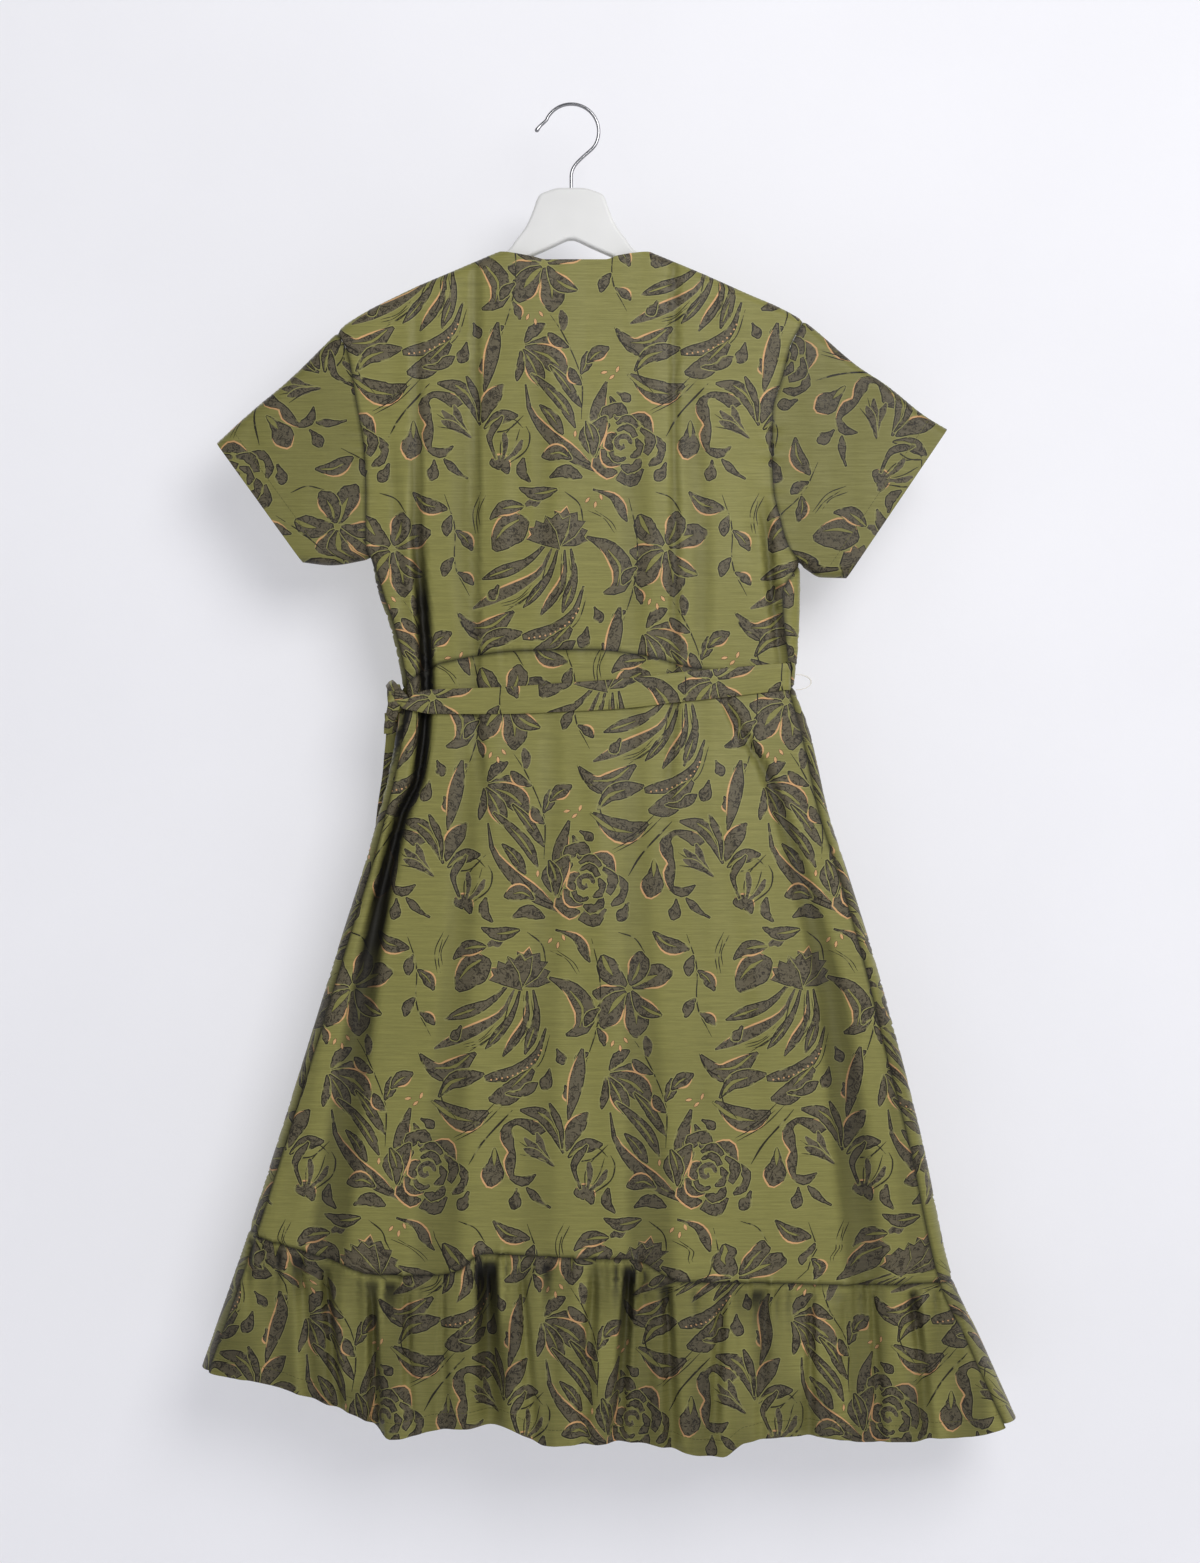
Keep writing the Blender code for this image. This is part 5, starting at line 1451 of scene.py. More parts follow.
def make_satin():
    made = Nodes("printed_satin")
    flat = made.add("UVMap", uv_map="Flat").outputs[0]
    ink = made.add("Attribute", attribute_name="ink", attribute_type="GEOMETRY").outputs["Fac"]
    ramp = made.add("ValToRGB", {"Fac": made.math("MULTIPLY_ADD", ink, 1 / len(INK_COLOURS),
                                                  0.5 / len(INK_COLOURS))})
    ramp.color_ramp.interpolation = "CONSTANT"
    stops = ramp.color_ramp.elements
    stops[0].position, stops[0].color = 0.0, INK_COLOURS[GROUND]
    stops[1].position, stops[1].color = 1 / len(INK_COLOURS), INK_COLOURS[HALO]
    for number in range(2, len(INK_COLOURS)):
        stops.new(number / len(INK_COLOURS)).color = INK_COLOURS[number]
    colour = ramp.outputs[0]

    # engraved black squiggles in the dark shapes
    on_fill = made.math("COMPARE", ink, float(FILL), 0.3)
    wander = made.noise(flat, 150.0, 2.0, 0.55, 1.6)
    rings = made.math("PINGPONG", made.math("MULTIPLY", wander, 3.4), 0.5)
    scratches = made.span(rings, 0.12, 0.22, 1.0, 0.0)
    patches = made.span(made.noise(flat, 75.0, 1.0), 0.28, 0.4)
    engraved = made.math("MULTIPLY", made.math("MULTIPLY", scratches, patches), on_fill)
    colour = made.mix(made.math("MULTIPLY", engraved, 0.9), colour, linear(*SCRATCH))
    worn = made.math("MULTIPLY", made.span(made.noise(flat, 420.0, 3.0), 0.5, 0.7), on_fill)
    colour = made.mix(made.math("MULTIPLY", worn, 0.2), colour, linear(*WORN))

    # the black outlines and the peach lines break off here and there
    on_line = made.math("COMPARE", ink, float(LINE), 0.3)
    gaps = made.math("MULTIPLY", made.span(made.noise(flat, 95.0, 2.0), 0.56, 0.66), on_line)
    colour = made.mix(made.math("MULTIPLY", gaps, 0.85), colour, INK_COLOURS[HALO])

    # the wrong side shows a faint, blurred print
    on_wrong = made.math("COMPARE", ink, float(WRONG_SIDE), 0.3)
    ghost = made.math("MULTIPLY", made.span(made.noise(flat, 26.0, 2.0, 0.5, 1.2), 0.52, 0.58), on_wrong)
    colour = made.mix(made.math("MULTIPLY", ghost, 0.4), colour, linear(88, 84, 58))

    # painted shade: the shade attribute darkens the colour in creases, gathers and seams, and over the ruffle
    # and the sleeves
    depth = made.add("Attribute", attribute_name="shade", attribute_type="GEOMETRY").outputs["Fac"]
    colour = made.mix(depth, colour, linear(*PAINTED_SHADE_COLOUR), "MULTIPLY")

    # crosswise slubs, fine picks and a slight cloudiness
    slub = made.noise(made.stretched(flat, 26.0, 620.0), 1.0, 3.0, 0.6)
    pick = made.noise(made.stretched(flat, 160.0, 1900.0), 1.0, 1.0)
    cloud = made.noise(flat, 7.0, 2.0)
    tone = made.math("MULTIPLY", made.span(slub, 0.3, 0.72, 0.84, 1.15),
                     made.span(pick, 0.3, 0.7, 0.95, 1.05))
    tone = made.math("MULTIPLY", tone, made.span(cloud, 0.3, 0.7, 0.96, 1.04))
    grey = made.add("CombineColor", {"Red": tone, "Green": tone, "Blue": tone}).outputs[0]
    colour = made.mix(1.0, colour, grey, "MULTIPLY")

    soft = made.relief(made.noise(made.stretched(flat, 1.0, 0.45), 42.0, 2.0, 0.5), 0.0016, 0.5)
    woven = made.relief(made.math("ADD", made.math("MULTIPLY", slub, 0.7), made.math("MULTIPLY", pick, 0.3)),
                        0.00035, 0.6, soft)
    shine = made.span(slub, 0.3, 0.7, 0.56, 0.46)
    return made.set(Base_Color=colour, Roughness=shine, Normal=woven, Sheen_Weight=0.05, Sheen_Roughness=0.4,
                    Specular_IOR_Level=0.24)


def make_white_paint():
    made = Nodes("white_paint")
    place = made.add("TexCoord").outputs["Object"]
    grain = made.noise(made.stretched(place, 12.0, 60.0, 90.0), 1.0, 3.0)
    tone = made.mix(made.span(made.noise(place, 18.0), 0.3, 0.7, 0.0, 1.0), linear(215, 215, 214),
                    linear(208, 208, 207))
    normal = made.relief(grain, 0.0002, 0.25)
    return made.set(Base_Color=tone, Roughness=made.span(grain, 0.3, 0.7, 0.38, 0.5), Normal=normal,
                    Coat_Weight=0.15, Coat_Roughness=0.3)


def make_chrome():
    made = Nodes("bright_wire")
    place = made.add("TexCoord").outputs["Object"]
    smear = made.noise(place, 220.0, 2.0)
    return made.set(Base_Color=linear(156, 156, 159), Metallic=1.0,
                    Roughness=made.span(smear, 0.35, 0.7, 0.1, 0.2))


def make_tape():
    made = Nodes("clear_tape")
    place = made.add("TexCoord").outputs["Object"]
    ribs = made.noise(made.stretched(place, 60.0, 60.0, 1800.0), 1.0, 1.0)
    tone = made.mix(made.span(ribs, 0.3, 0.7), linear(236, 232, 222), linear(220, 216, 206))
    made.set(Base_Color=tone, Roughness=0.35, Alpha=0.6, Normal=made.relief(ribs, 0.0001, 0.4))
    return made.material


SATIN, WHITE_PAINT, BRIGHT_WIRE, CLEAR_TAPE = make_satin(), make_white_paint(), make_chrome(), make_tape()


# ---------------------------------------------------------------- the dress

HEM_STITCH, CUFF_STITCH, FRONT_STITCH = 15.0, 20.0, 6.0     # from a row of stitches to its edge


def seam_below(edge):
    return lambda x: edge(x) + SEAM_GAP / 2


def seam_above(edge):
    return lambda x: edge(x) - SEAM_GAP / 2


# near-black painted shade for the opening in the right side seam that the belt goes into, on either side of
# the seam; the cloth is not cut there
SLIT_BACK = [(207.8, -541), (209.5, -543), (211.4, -552), (212.6, -563), (210.6, -564), (208.6, -552)]
SLIT_FRONT = [(221.4, -558), (222.4, -548), (226.5, -541), (228.5, -544), (228, -555), (224, -563.5)]


def make_back():
    sides = side_edge("left", BACK), side_edge("right", BACK)
    bodice = Border(*sides, back_top, seam_below(WAIST_SEAM))
    skirt = Border(*sides, seam_above(WAIST_SEAM), seam_below(RUFFLE_SEAM[BACK]))
    ruffle = Border(*sides, seam_above(RUFFLE_SEAM[BACK]), HEM[BACK])
    made = make_panel("dress_back_bodice", bodice, (-215, -550), BACK, print_at(20, -96),
                      top_rows=ROLL_ROWS, marks=[(SLIT_SHADE, np.array(SLIT_BACK))])
    declare(*made, "hung", "back_bodice")
    made = make_panel("dress_back_skirt", skirt, (-560, -1120), BACK, print_at(-16, -520))
    declare(*made, "hung", "back_skirt", "back_bodice")
    made = make_panel("dress_back_ruffle", ruffle, (-1120, -1280), BACK, print_at(40, -1030),
                      Seams(bottom=False), step=RUFFLE_STEP, stitches=(("bottom", HEM_STITCH),))
    declare(*made, "gathered", "back_ruffle", "back_skirt")


def make_fronts():
    for piece, side, lift, start in (("over", "right", level, 70), ("under", "left", under_lift, -30)):
        free = FREE_EDGE[side]
        seamed = side_edge(side, FRONT)
        borders = [seamed, free] if side == "left" else [free, seamed]
        sewn = Seams(side == "left", side == "right")
        free_side = "right" if side == "left" else "left"
        bodice = Border(*borders, TOP_EDGE, seam_below(WAIST_SEAM))
        skirt = Border(*borders, seam_above(WAIST_SEAM), seam_below(RUFFLE_SEAM[FRONT]))
        ruffle = Border(*borders, seam_above(RUFFLE_SEAM[FRONT]), HEM[FRONT])
        stitch = (free_side, FRONT_STITCH)
        made = make_panel("dress_front_bodice_" + piece, bodice, (-200, -550), FRONT, print_at(start, -150),
                          sewn, lift, top_rows=ROLL_ROWS, stitches=(stitch,),
                          marks=[(SLIT_SHADE, np.array(SLIT_FRONT))] if side == "right" else ())
        declare(*made, "hung", "front_bodice_" + piece)
        made = make_panel("dress_front_skirt_" + piece, skirt, (-560, -1120), FRONT,
                          print_at(start + 60, -560), sewn, lift, stitches=(stitch,))
        declare(*made, "hung", "front_skirt_" + piece, "front_bodice_" + piece)
        made = make_panel("dress_front_ruffle_" + piece, ruffle, (-1120, -1280), FRONT,
                          print_at(start - 40, -1010), sewn._replace(bottom=False), lift, RUFFLE_STEP,
                          stitches=(("bottom", HEM_STITCH), stitch))
        declare(*made, "gathered", "front_ruffle_" + piece, "front_skirt_" + piece)


# a sleeve's halves end this far from the fold
FOLD_GAP = 0.04
SLEEVE_TURN = {"left": 0.75, "right": -0.75}
# painted shade over the whole of both sleeves
SLEEVE_SHADE = 0.2      # the sleeves turn a little away from the light
# how far a sleeve's points keep from its borders: beside all of them, and below and above the long ones
SLEEVE_CLEAR, SLEEVE_DEEP, ROW_CLEAR = 4.0, 11.0, 0.28
HALF_MAP, UPPER_MAP = 0.495, 0.5        # the size of half a baking map, and where the upper one starts


def make_sleeve(side):
    """Two faces of one flattened tube, from the armhole seam to the open cuff."""
    cuff_top, cuff_foot = CUFF_TOP[side], CUFF_FOOT[side]
    away = outward(side)

    def cuff(z):
        return blend(cuff_top.x, cuff_foot.x, (cuff_top.z - z) / (cuff_top.z - cuff_foot.z))

    def armhole(z):
        return ARMHOLE[side](z) + away * SEAM_GAP / 2

    under = UNDER_SLEEVE[side]
    lines = [cuff, armhole] if side == "left" else [armhole, cuff]
    border = Border(*lines, TOP_EDGE, under)
    shoulder, underarm = SHOULDER_END[side], UNDERARM[side]
    z = np.linspace(shoulder.z, underarm.z, 60)
    arm_edge = pairs(armhole(z), z)
    x = np.linspace(underarm.x + away * SEAM_GAP / 2, cuff_foot.x, 24)
    low_edge = pairs(x, under(x))
    z = np.linspace(cuff_foot.z, cuff_top.z, 44)
    cuff_edge = pairs(cuff(z), z)
    x = np.linspace(cuff_top.x, shoulder.x + away * SEAM_GAP / 2, 50)
    top_edge = pairs(x, TOP_EDGE(x))
    outline = np.concatenate((arm_edge, low_edge[1:], cuff_edge[1:], top_edge[1:-1]))
    if area_of(outline) < 0:
        outline = outline[::-1]
    sewn = Seams(side == "right", side == "left", False, False)
    dip = seam_dip(border, sewn)
    made = []
    for face in (BACK, FRONT):
        flat = FLAT[face]
        fine = np.concatenate((sleeve_points(border, outline, FINE_STEP),
                               sleeve_rows(border, outline, sewn)))
        coarse = np.concatenate((sleeve_points(border, outline, COARSE_STEP),
                                 sleeve_rows(border, outline, Seams(*NOT_SEWN))))

        def lay(points, skin, face=face):
            px, pz = points.T
            return on_cloth(px, pz, face, dip(px, pz) - (THICK if skin else 0), wraps=False, gap=FOLD_GAP)

        # painted shade: even over the sleeve, deeper in the dip along its armhole seam
        def shade(points):
            px, pz = points.T
            return np.maximum(SLEEVE_SHADE, SEAM_SHADE * dip(px, pz) / -SEAM_DIP)

        motif = print_at(40 * away, -60 + 90 * face, SLEEVE_TURN[side])
        shapes = [(ink, flat.unflatten(shape)) for ink, shape in motif(flat.flatten(outline))]
        shapes += cuff_stitches(side, cuff_top, cuff_foot)
        name = "dress_sleeve_{}_{}".format(side, "back" if face == BACK else "front")
        made.append(shell(name, outline, fine, coarse, shapes, lay, flat.flatten, turned=face == FRONT,
                          shade=shade))
    (back, cut), (front, _) = made
    back.name = back.data.name = "dress_sleeve_" + side
    join(back, front)
    declare(back, Cut(2 * cut.width, cut.length, 2 * cut.area), "hung", "sleeve_" + side, "back_bodice")


def join(target, other):
    """One object from two, with the second's baking map above the first's."""
    for thing, rise in ((target, 0.0), (other, UPPER_MAP)):
        layer = thing.data.uv_layers["OFBake"].data
        spots = np.empty(len(layer) * 2, np.float32)
        layer.foreach_get("uv", spots)
        spots = spots.reshape(-1, 2)
        spots[:, 1] = spots[:, 1] * HALF_MAP + rise
        layer.foreach_set("uv", spots.ravel())
    bpy.ops.object.select_all(action="DESELECT")
    target.select_set(True)
    other.select_set(True)
    bpy.context.view_layer.objects.active = target
    bpy.ops.object.join()


def inside_of(border, points, clear):
    x, z = points.T
    with_slope = 1.25 * clear
    return points[(x > border.left(z) + with_slope) & (x < border.right(z) - with_slope)
                  & (z < border.top(x) - clear) & (z > border.bottom(x) + clear)]


def sleeve_points(border, outline, step):
    low, high = outline.min(axis=0), outline.max(axis=0)
    x, z = np.meshgrid(np.arange(low[0], high[0], step), np.arange(low[1], high[1], step))
    x = x + 0.5 * step * (np.arange(len(x))[:, None] % 2)
    points = inside_of(border, pairs(x.ravel(), z.ravel()), SLEEVE_CLEAR)
    x, z = points.T
    return points[(z < border.top(x) - SLEEVE_DEEP) & (z > border.bottom(x) + SLEEVE_DEEP)]


def sleeve_rows(border, outline, sewn):
    rows = []
    low, high = outline.min(axis=0), outline.max(axis=0)
    x = np.arange(low[0], high[0], ROLL_PITCH)
    for distance in ROLL_ROWS:
        rows.append(pairs(x, border.top(x) - distance / TOP_EDGE.lean(x)))
        rows.append(pairs(x, border.bottom(x) + distance))
    z = np.arange(low[1], high[1], SEAM_PITCH)
    for distance in SEAM_ROWS:
        if sewn.left:
            rows.append(pairs(border.left(z) + distance, z))
        if sewn.right:
            rows.append(pairs(border.right(z) - distance, z))
    return inside_of(border, np.concatenate(rows), ROW_CLEAR)


def cuff_stitches(side, cuff_top, cuff_foot):
    """A row of stitches along the cuff."""
    top, foot = np.array(cuff_top), np.array(cuff_foot)
    along = (foot - top) / np.linalg.norm(foot - top)
    inward = left_of(along)
    if np.dot(inward, (-outward(side), 0)) < 0:
        inward = -inward
    shapes = []
    for distance in np.arange(2.0, np.linalg.norm(foot - top) - 2, STITCH_PITCH):
        start = top + along * distance + inward * CUFF_STITCH
        length, width = along * STITCH, inward * STITCH_WIDE
        shapes.append((THREAD, np.array([start, start + length, start + length + width, start + width])))
    return shapes


# ---------------------------------------------------------------- the belt, its knot and its tails

BELT_THICK = 2.0

# x, middle, width and lift along the back, then through the slit and on inside the right side
BELT = columns("middle width lift", [
    (-163.5, -584.5, 4, 5.6), (-157, -583, 11, 5.0), (-149, -581, 18, 4.4), (-136, -580.3, 23.5, 3.8),
    (-69, -579.5, 26, 3.2), (-11, -576.5, 28, 3.2), (47, -573, 29, 3.2), (105, -566.5, 29, 3.2),
    (163, -560.5, 28, 3.2), (200, -556.6, 26.4, 3.2), (207, -556, 26, 3.0), (215.5, -556, 26, -2.2),
    (220, -556, 26, -4.4), (244.4, -556, 26, -4.4)])
BELT_FRONT = columns("middle width lift", [
    (-161, -573.2, 19, 3.2), (-156, -570, 21, 3.2), (-150, -566, 23, 3.2), (-142, -562, 24, 1.2),
    (-137.6, -560, 24, 0.5)])
# the belt's slight waves: their height, their two lengths along it and the one across it
BELT_WAVE, WAVE_SHORT, WAVE_LONG, WAVE_DOWN = 0.35, 23.0, 57.0, 19.0
STRAP_STEP = 3
# the rows of points along a strap or a band, as shares of its half width
STRAP_ROWS = (-0.985, -0.93, -0.8, -0.55, -0.28, 0, 0.28, 0.55, 0.8, 0.93, 0.985)
BAND_ROWS = (-0.97, -0.86, -0.6, -0.3, 0, 0.3, 0.6, 0.86, 0.97)


def bulge(share):
    """The half thickness of a pressed tube, over the share of its half width."""
    return np.sqrt(np.clip(1 - np.abs(share) ** 5, 0, 1))


def make_strap(name, course, ends, face, node, motif):
    def top(x):
        return course.middle(x) + course.width(x) / 2

    def bottom(x):
        return course.middle(x) - course.width(x) / 2

    start, end = ends
    x = np.linspace(start, end, int((end - start) / STRAP_STEP))
    outline = np.concatenate((pairs(x, bottom(x)), pairs(x[::-1], top(x[::-1]))))
    rows = []
    for share in STRAP_ROWS:
        inner = x[1:-1]
        rows.append(pairs(inner, course.middle(inner) + share * course.width(inner) / 2))
    inside = np.concatenate(rows)

    def surface(points, side):
        px, pz = points.T
        share = 2 * (pz - course.middle(px)) / course.width(px)
        wave = BELT_WAVE * np.sin(px / WAVE_SHORT) * np.sin(px / WAVE_LONG + pz / WAVE_DOWN)
        lift = course.lift(px) - BELT_THICK / 2 + wave * (face == BACK)
        lift = lift + side * bulge(share) * BELT_THICK / 2
        return on_cloth(px, pz, face, lift, folded=False)[0]

    def lay(points, skin):
        side = -1 if skin else 1
        reach = 0.25
        dx = surface(points + (reach, 0), side) - surface(points - (reach, 0), side)
        dz = surface(points + (0, reach), side) - surface(points - (0, reach), side)
        normal = unit(np.cross(dx, dz) * (1 if face == BACK else -1) * side)
        return surface(points, side), normal * side

    def flatten(points):
        return pairs(points[:, 0], points[:, 1] - course.middle(points[:, 0]))

    shapes = [(ink, ring + pairs(np.zeros(len(ring)), course.middle(ring[:, 0])))
              for ink, ring in motif(flatten(outline))]
    made = shell(name, outline, inside, None, shapes, lay, flatten, turned=face == FRONT)
    declare(*made, "hung", node, "back_bodice")


# each row of a band: x, y and z of its middle, the direction of its width, and the width
def make_band(name, rows, thick, motif, step=2.4, profile=0.5):
    """A soft flat band along rows of its middle line, with the directions of its width."""
    table = np.array(rows, float)
    reach = reach_of(table[:, :3])
    lines = [Line(*zip(reach, table[:, i])) for i in range(7)]
    length = reach[-1]

    def surface(points, side):
        s, share = points[:, 0], points[:, 1]
        middle = np.stack([line(s) for line in lines[:3]], axis=1)
        ahead = unit(np.stack([line(np.minimum(s + 0.5, length)) - line(np.maximum(s - 0.5, 0))
                               for line in lines[:3]], axis=1))
        wide = np.stack([line(s) for line in lines[3:6]], axis=1)
        wide = unit(wide - ahead * np.sum(wide * ahead, axis=1, keepdims=True))
        out = np.cross(ahead, wide)
        half = lines[6](s)[:, None] / 2
        height = np.clip(1 - share ** 2, 0, 1) ** profile * thick / 2
        return middle + wide * half * share[:, None] + out * (side * height)[:, None]

    s = np.linspace(0, length, max(6, int(length / step)))
    outline = np.concatenate((pairs(s, np.full(len(s), -1.0)), pairs(s[::-1], np.full(len(s), 1.0))))
    inside = np.stack([grid.ravel() for grid in np.meshgrid(s[1:-1], BAND_ROWS)], axis=1)
    mean_width = float(np.mean(table[:, 6]))

    def lay(points, skin):
        side = -1 if skin else 1
        ds = surface(points + (0.3, 0), side) - surface(points - (0.3, 0), side)
        low, high = (np.clip(points + (0, turn), (-9, -1), (9999, 1)) for turn in (-0.02, 0.02))
        return surface(points, side), unit(np.cross(ds, surface(high, side) - surface(low, side)))

    def flatten(points):
        return points * (1, mean_width / 2)

    shapes = [(ink, ring / (1, mean_width / 2)) for ink, ring in motif(flatten(outline))]
    return shell(name, outline, inside, None, shapes, lay, flatten)


TAIL_ROWS = {
    "tie_tail_outer": [(-176, 3, -590, 1, 0.3, 0, 12), (-175.5, 9, -600, 1, 0.15, 0, 13),
                       (-174.5, 13.5, -612, 1, 0, 0, 14), (-174.5, 19, -640, 1, -0.1, 0, 20),
                       (-179, 22.5, -690, 1, -0.12, 0, 25), (-186, 25.5, -760, 1, 0.05, 0, 26),
                       (-193, 29, -840, 1, 0.12, 0, 26), (-197, 32, -900, 1, 0, 0, 26)],
    "tie_tail_inner": [(-169.5, 12, -589, 1, -0.2, 0, 10), (-163, 17, -602, 1, 0, 0, 12),
                       (-160, 20.5, -616, 1, 0.1, 0, 15), (-152, 23.5, -650, 1, 0.12, 0, 23),
                       (-150.5, 27, -700, 1, 0.05, 0, 25), (-153.5, 31, -780, 1, -0.1, 0, 25),
                       (-157.5, 34, -846, 1, 0, 0, 25)],
}


def make_knot():
    """A soft lump, a band round it and the strip that crosses the belt's end."""
    ring = []
    for degrees in range(-40, 381, 30):
        angle = math.radians(degrees)
        grow_out = 0.4 * (degrees + 40) / 420
        ring.append((-171.5 - 1.2 * math.sin(angle), -1.0 - (11.6 + grow_out) * math.cos(angle),
                     -577.5 + (12.6 + grow_out) * math.sin(angle), 1, 0.1, 0.28, 12.5))
    cross = [(-177, 0, -561.5, 0.76, 0.1, 0.64, 9), (-174.5, -8, -564.5, 0.76, 0, 0.65, 10.5),
             (-170, -14.5, -570, 0.76, 0, 0.65, 11.5), (-164.5, -16.5, -576.5, 0.76, 0, 0.65, 12),
             (-160, -16, -581.5, 0.76, 0, 0.65, 11.5), (-158.5, -11, -583.5, 0.76, 0, 0.65, 9)]
    fall = [(-171.5, -9, -567, 1, 0, 0.1, 9), (-171, -14, -572, 1, 0, 0.1, 11),
            (-171, -15.5, -580, 1, 0, -0.1, 12), (-173.5, -13, -592, 1, 0.1, -0.15, 11),
            (-177, -7, -603, 1, 0.2, -0.15, 9), (-178.5, 1, -611, 1, 0.3, 0, 8)]
    core = []
    for height, half in ((9.5, 6), (6, 9), (1, 10.5), (-5, 10), (-10, 7.5)):
        core.append((-172, -1, -577 + height, 0, 1, 0, 2 * half))
    lump, cut = make_band("tie_knot_band", ring, 3.0, print_at(10, -40), 2.0)
    parts = [make_band("tie_knot_cross", cross, 2.6, print_at(60, -90), 1.8),
             make_band("tie_knot_fall", fall, 2.4, print_at(90, -40), 2.0),
             make_band("tie_knot_core", core, 11.0, print_at(120, -200), 1.6, 0.5)]
    for part, part_cut in parts:
        join(lump, part)
        cut = Cut(cut.width, cut.length + part_cut.area / cut.width, cut.area + part_cut.area)
    lump.name = lump.data.name = "tie_knot_tied"
    declare(lump, cut, "folded", "tie_knot", "belt_back")


def make_belt():
    make_strap("belt_across_back", BELT, (-163.5, 244.0), BACK, "belt_back", print_at(30, -212))
    make_strap("belt_at_front", BELT_FRONT, (-161.0, -137.6), FRONT, "belt_front", print_at(-50, -60))
    make_knot()
    for name, rows in TAIL_ROWS.items():
        made = make_band(name + "_hanging", rows, BELT_THICK,
                         print_at(0, -150, 0.3), 3.5, 0.3)
        declare(*made, "hung", name, "tie_knot")


# ---------------------------------------------------------------- the hanger

HANGER_OUTLINE = [
    (0, -80.5), (10, -80.5), (15.5, -81.2), (19.5, -82.4), (29, -86), (33.2, -91), (36.5, -100.5),
    (43.5, -117), (53, -130), (60, -139.5), (71.5, -148), (87, -154.6), (107, -162.5), (147.8, -180),
    (180, -196), (203, -210.5), (211, -218), (212.5, -226), (205, -231.5), (190, -228), (147.8, -206),
    (107, -184), (71.5, -164), (43.5, -149.2), (20, -138.6), (6, -132), (0, -130.8)]
HANGER_HALF_THICK, HANGER_BEVEL = 6.0, 3.2
WIRE = 3.4
HOOK_RADIUS = 26.7
HOOK_COURSE = [
    (21.2, -40.9), (18.9, -43.2), (16.4, -45.4), (13.6, -47.8), (10.8, -50.3), (8.1, -52.9), (5.5, -55.6),
    (3.3, -58.4), (1.6, -61.4), (0.5, -64.6), (0, -68), (0, -72), (0, -76.5), (0, -81.5)]
HOOK_TIP = [(-34.6, -25.4), (-32.6, -22.6), (-30.2, -19.6)]
TIP_REACH, TIP_SWELL = (0, 0.5, 1.2, 3.0, 5.5, 8.0), (0.35, 0.95, 1.28, 1.3, 1.1, 1.0)
BEVEL_ANGLES = np.radians(np.arange(-90, 91, 15.0))


def make_hanger():
    """The flat carved body: its outline with rounded edges."""
    outline = rounded(HANGER_OUTLINE + [(-x, z) for x, z in HANGER_OUTLINE[-2:0:-1]], 4)
    if area_of(outline) < 0:
        outline = outline[::-1]
    count = len(outline)
    way_out = grow(outline, 1.0) - outline
    points, normals = [], []
    for angle in BEVEL_ANGLES:
        for flat_side in ((-1, 1) if angle == 0 else (np.sign(angle),)):
            ring = grow(outline, -HANGER_BEVEL * (1 - math.cos(angle)))
            y = flat_side * (HANGER_HALF_THICK - HANGER_BEVEL) + HANGER_BEVEL * math.sin(angle)
            points.append(np.stack((ring[:, 0], np.full(count, y), ring[:, 1]), axis=1))
            normals.append(np.stack((way_out[:, 0] * math.cos(angle), np.full(count, math.sin(angle)),
                                     way_out[:, 1] * math.cos(angle)), axis=1))
    faces = []
    for ring in range(len(points) - 1):
        for number in range(count):
            after = (number + 1) % count
            faces.append((ring * count + number, (ring + 1) * count + number, (ring + 1) * count + after,
                          ring * count + after))
    _, cap, _, origins = triangulate(grow(outline, -HANGER_BEVEL), np.empty((0, 2)), [])
    place = {number: sources[0] for number, sources in enumerate(origins)}
    last = (len(points) - 1) * count
    for a, b, c in cap.tolist():
        faces.append((place[a], place[b], place[c]))
        faces.append((last + place[a], last + place[c], last + place[b]))
    mesh = bpy.data.meshes.new("hanger_carved")
    mesh.from_pydata((np.concatenate(points) * MM).tolist(), [], faces)
    mesh.polygons.foreach_set("use_smooth", np.ones(len(mesh.polygons), bool))
    mesh.normals_split_custom_set_from_vertices(np.concatenate(normals).tolist())
    finish_piece(put("hanger_carved", mesh), WHITE_PAINT, "hanger_body")


def make_hook():
    """One bent wire with a rounded, slightly thickened tip."""
    centre_z = WIRE / 2 - HOOK_RADIUS
    course = list(HOOK_TIP)
    for degrees in range(156, -31, -6):
        angle = math.radians(degrees)
        course.append((HOOK_RADIUS * math.cos(angle), centre_z + HOOK_RADIUS * math.sin(angle)))
    course += HOOK_COURSE
    smooth = bend(course, 150)
    curve = bpy.data.curves.new("hook_wire", "CURVE")
    curve.dimensions = "3D"
    curve.bevel_depth = WIRE / 2 * MM
    curve.bevel_resolution = 6
    curve.use_fill_caps = True
    spline = curve.splines.new("POLY")
    spline.points.add(len(smooth) - 1)
    reach = reach_of(smooth)
    for point, (x, z), far in zip(spline.points, smooth, reach):
        point.co = (x * MM, 0, z * MM, 1)
        point.radius = float(np.interp(far, TIP_REACH, TIP_SWELL))
    finish_piece(put("hook_wire", curve), BRIGHT_WIRE, "hanger_hook")


def dress_tape():
    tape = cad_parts["hanging_loop"]
    tape.data.materials.clear()
    tape.data.materials.append(CLEAR_TAPE)


# ---------------------------------------------------------------- the stage, the light and the camera

WALL_Y = 0.094
FLOOR_Z = -1.62
WALL_GLOW = 0.84        # softens the shadows on the wall
FRAME_HEIGHT = 1.521
CAMERA_AT = (0.0280, -2.45, -0.6575)
SENSOR = 36.0


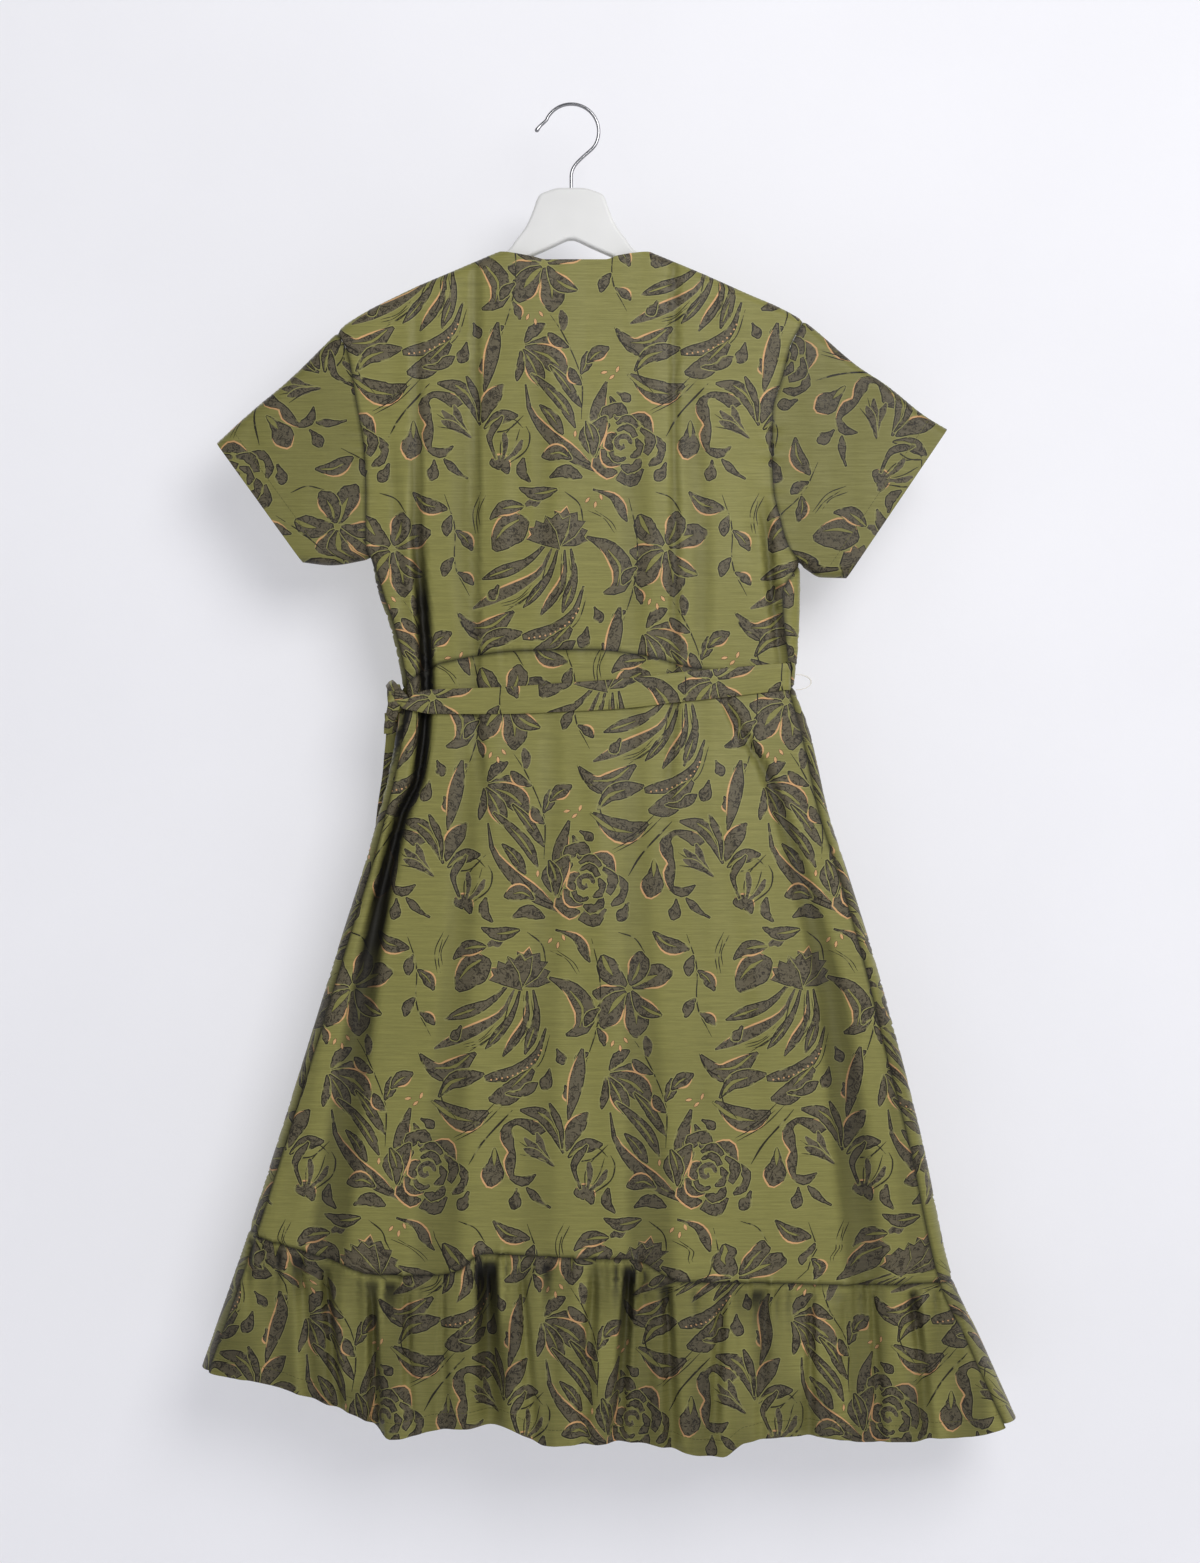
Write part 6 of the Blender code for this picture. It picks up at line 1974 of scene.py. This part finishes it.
def stage_material(name, tone, one_sided):
    made = Nodes(name)
    place = made.add("TexCoord").outputs["Object"]
    mottle = made.noise(place, 3.0, 3.0)
    colour = made.mix(made.span(mottle, 0.35, 0.65), linear(*tone), linear(*(c - 2 for c in tone)))
    made.set(Base_Color=colour, Roughness=0.85, Specular_IOR_Level=0.2,
             Normal=made.relief(made.noise(place, 350.0, 2.0), 0.0004, 0.15))
    if one_sided:
        made.set(Emission_Color=colour, Emission_Strength=WALL_GLOW)
        seen_from_behind = made.add("NewGeometry").outputs["Backfacing"]
        clear = made.add("BsdfTransparent").outputs[0]
        both = made.add("MixShader")
        made.join(both.inputs[0], seen_from_behind)
        made.join(both.inputs[1], made.shader.outputs[0])
        made.join(both.inputs[2], clear)
        made.join(made.output.inputs["Surface"], both.outputs[0])
    return made.material


def plane(name, corners, material):
    mesh = bpy.data.meshes.new(name)
    mesh.from_pydata(corners, [], [(0, 1, 2, 3)])
    mesh.materials.append(material)
    thing = put(name, mesh)
    return thing


def lamp(name, place, aim, size, power, colour=(1, 1, 1)):
    data = bpy.data.lights.new(name, "AREA")
    data.shape, data.size, data.size_y = "RECTANGLE", size[0], size[1]
    data.energy, data.color = power, colour
    thing = put(name, data)
    thing.location = place
    thing.rotation_euler = (Vector(aim) - Vector(place)).to_track_quat("-Z", "Y").to_euler()


def make_stage():
    wall = plane("wall", [(-3.2, WALL_Y, FLOOR_Z), (3.2, WALL_Y, FLOOR_Z), (3.2, WALL_Y, 1.6),
                          (-3.2, WALL_Y, 1.6)],
                 stage_material("wall_paint", (183, 183, 187), True))
    wall.visible_shadow = False
    plane("floor", [(-5, -5, FLOOR_Z), (5, -5, FLOOR_Z), (5, 5, FLOOR_Z), (-5, 5, FLOOR_Z)],
          stage_material("floor_paint", (226, 226, 230), False))
    world = bpy.data.worlds.new("studio")
    bpy.context.scene.world = world
    world.use_nodes = True
    world.node_tree.nodes["Background"].inputs["Color"].default_value = (0.94, 0.96, 1.0, 1)
    world.node_tree.nodes["Background"].inputs["Strength"].default_value = 0.3
    lamp("key", (1.0, -2.35, 0.6), (0.0, 0.0, -0.5), (1.5, 1.5), 60, (1.0, 0.99, 0.975))
    lamp("fill", (-2.0, -2.4, 0.2), (0.0, 0.0, -0.7), (1.6, 1.8), 6, (0.97, 0.985, 1.0))
    lamp("behind_left", (-1.4, 2.4, 0.6), (0.0, 0.0, -0.7), (1.5, 1.5), 26)
    lamp("behind_right", (1.9, 2.0, -0.2), (0.0, 0.0, -0.7), (1.5, 1.8), 14)


def make_camera():
    data = bpy.data.cameras.new("camera")
    data.sensor_fit = "VERTICAL"
    data.sensor_height = SENSOR
    data.lens = SENSOR * -CAMERA_AT[1] / FRAME_HEIGHT
    camera = put("camera", data)
    camera.location = CAMERA_AT
    camera.rotation_euler = (math.pi / 2, 0, 0)
    bpy.context.scene.camera = camera
    bpy.context.scene.view_settings.view_transform = "Standard"


make_camera()
make_stage()
make_hanger()
make_hook()
dress_tape()
make_back()
make_fronts()
for arm in ("left", "right"):
    make_sleeve(arm)
make_belt()

bpy.context.view_layer.update()
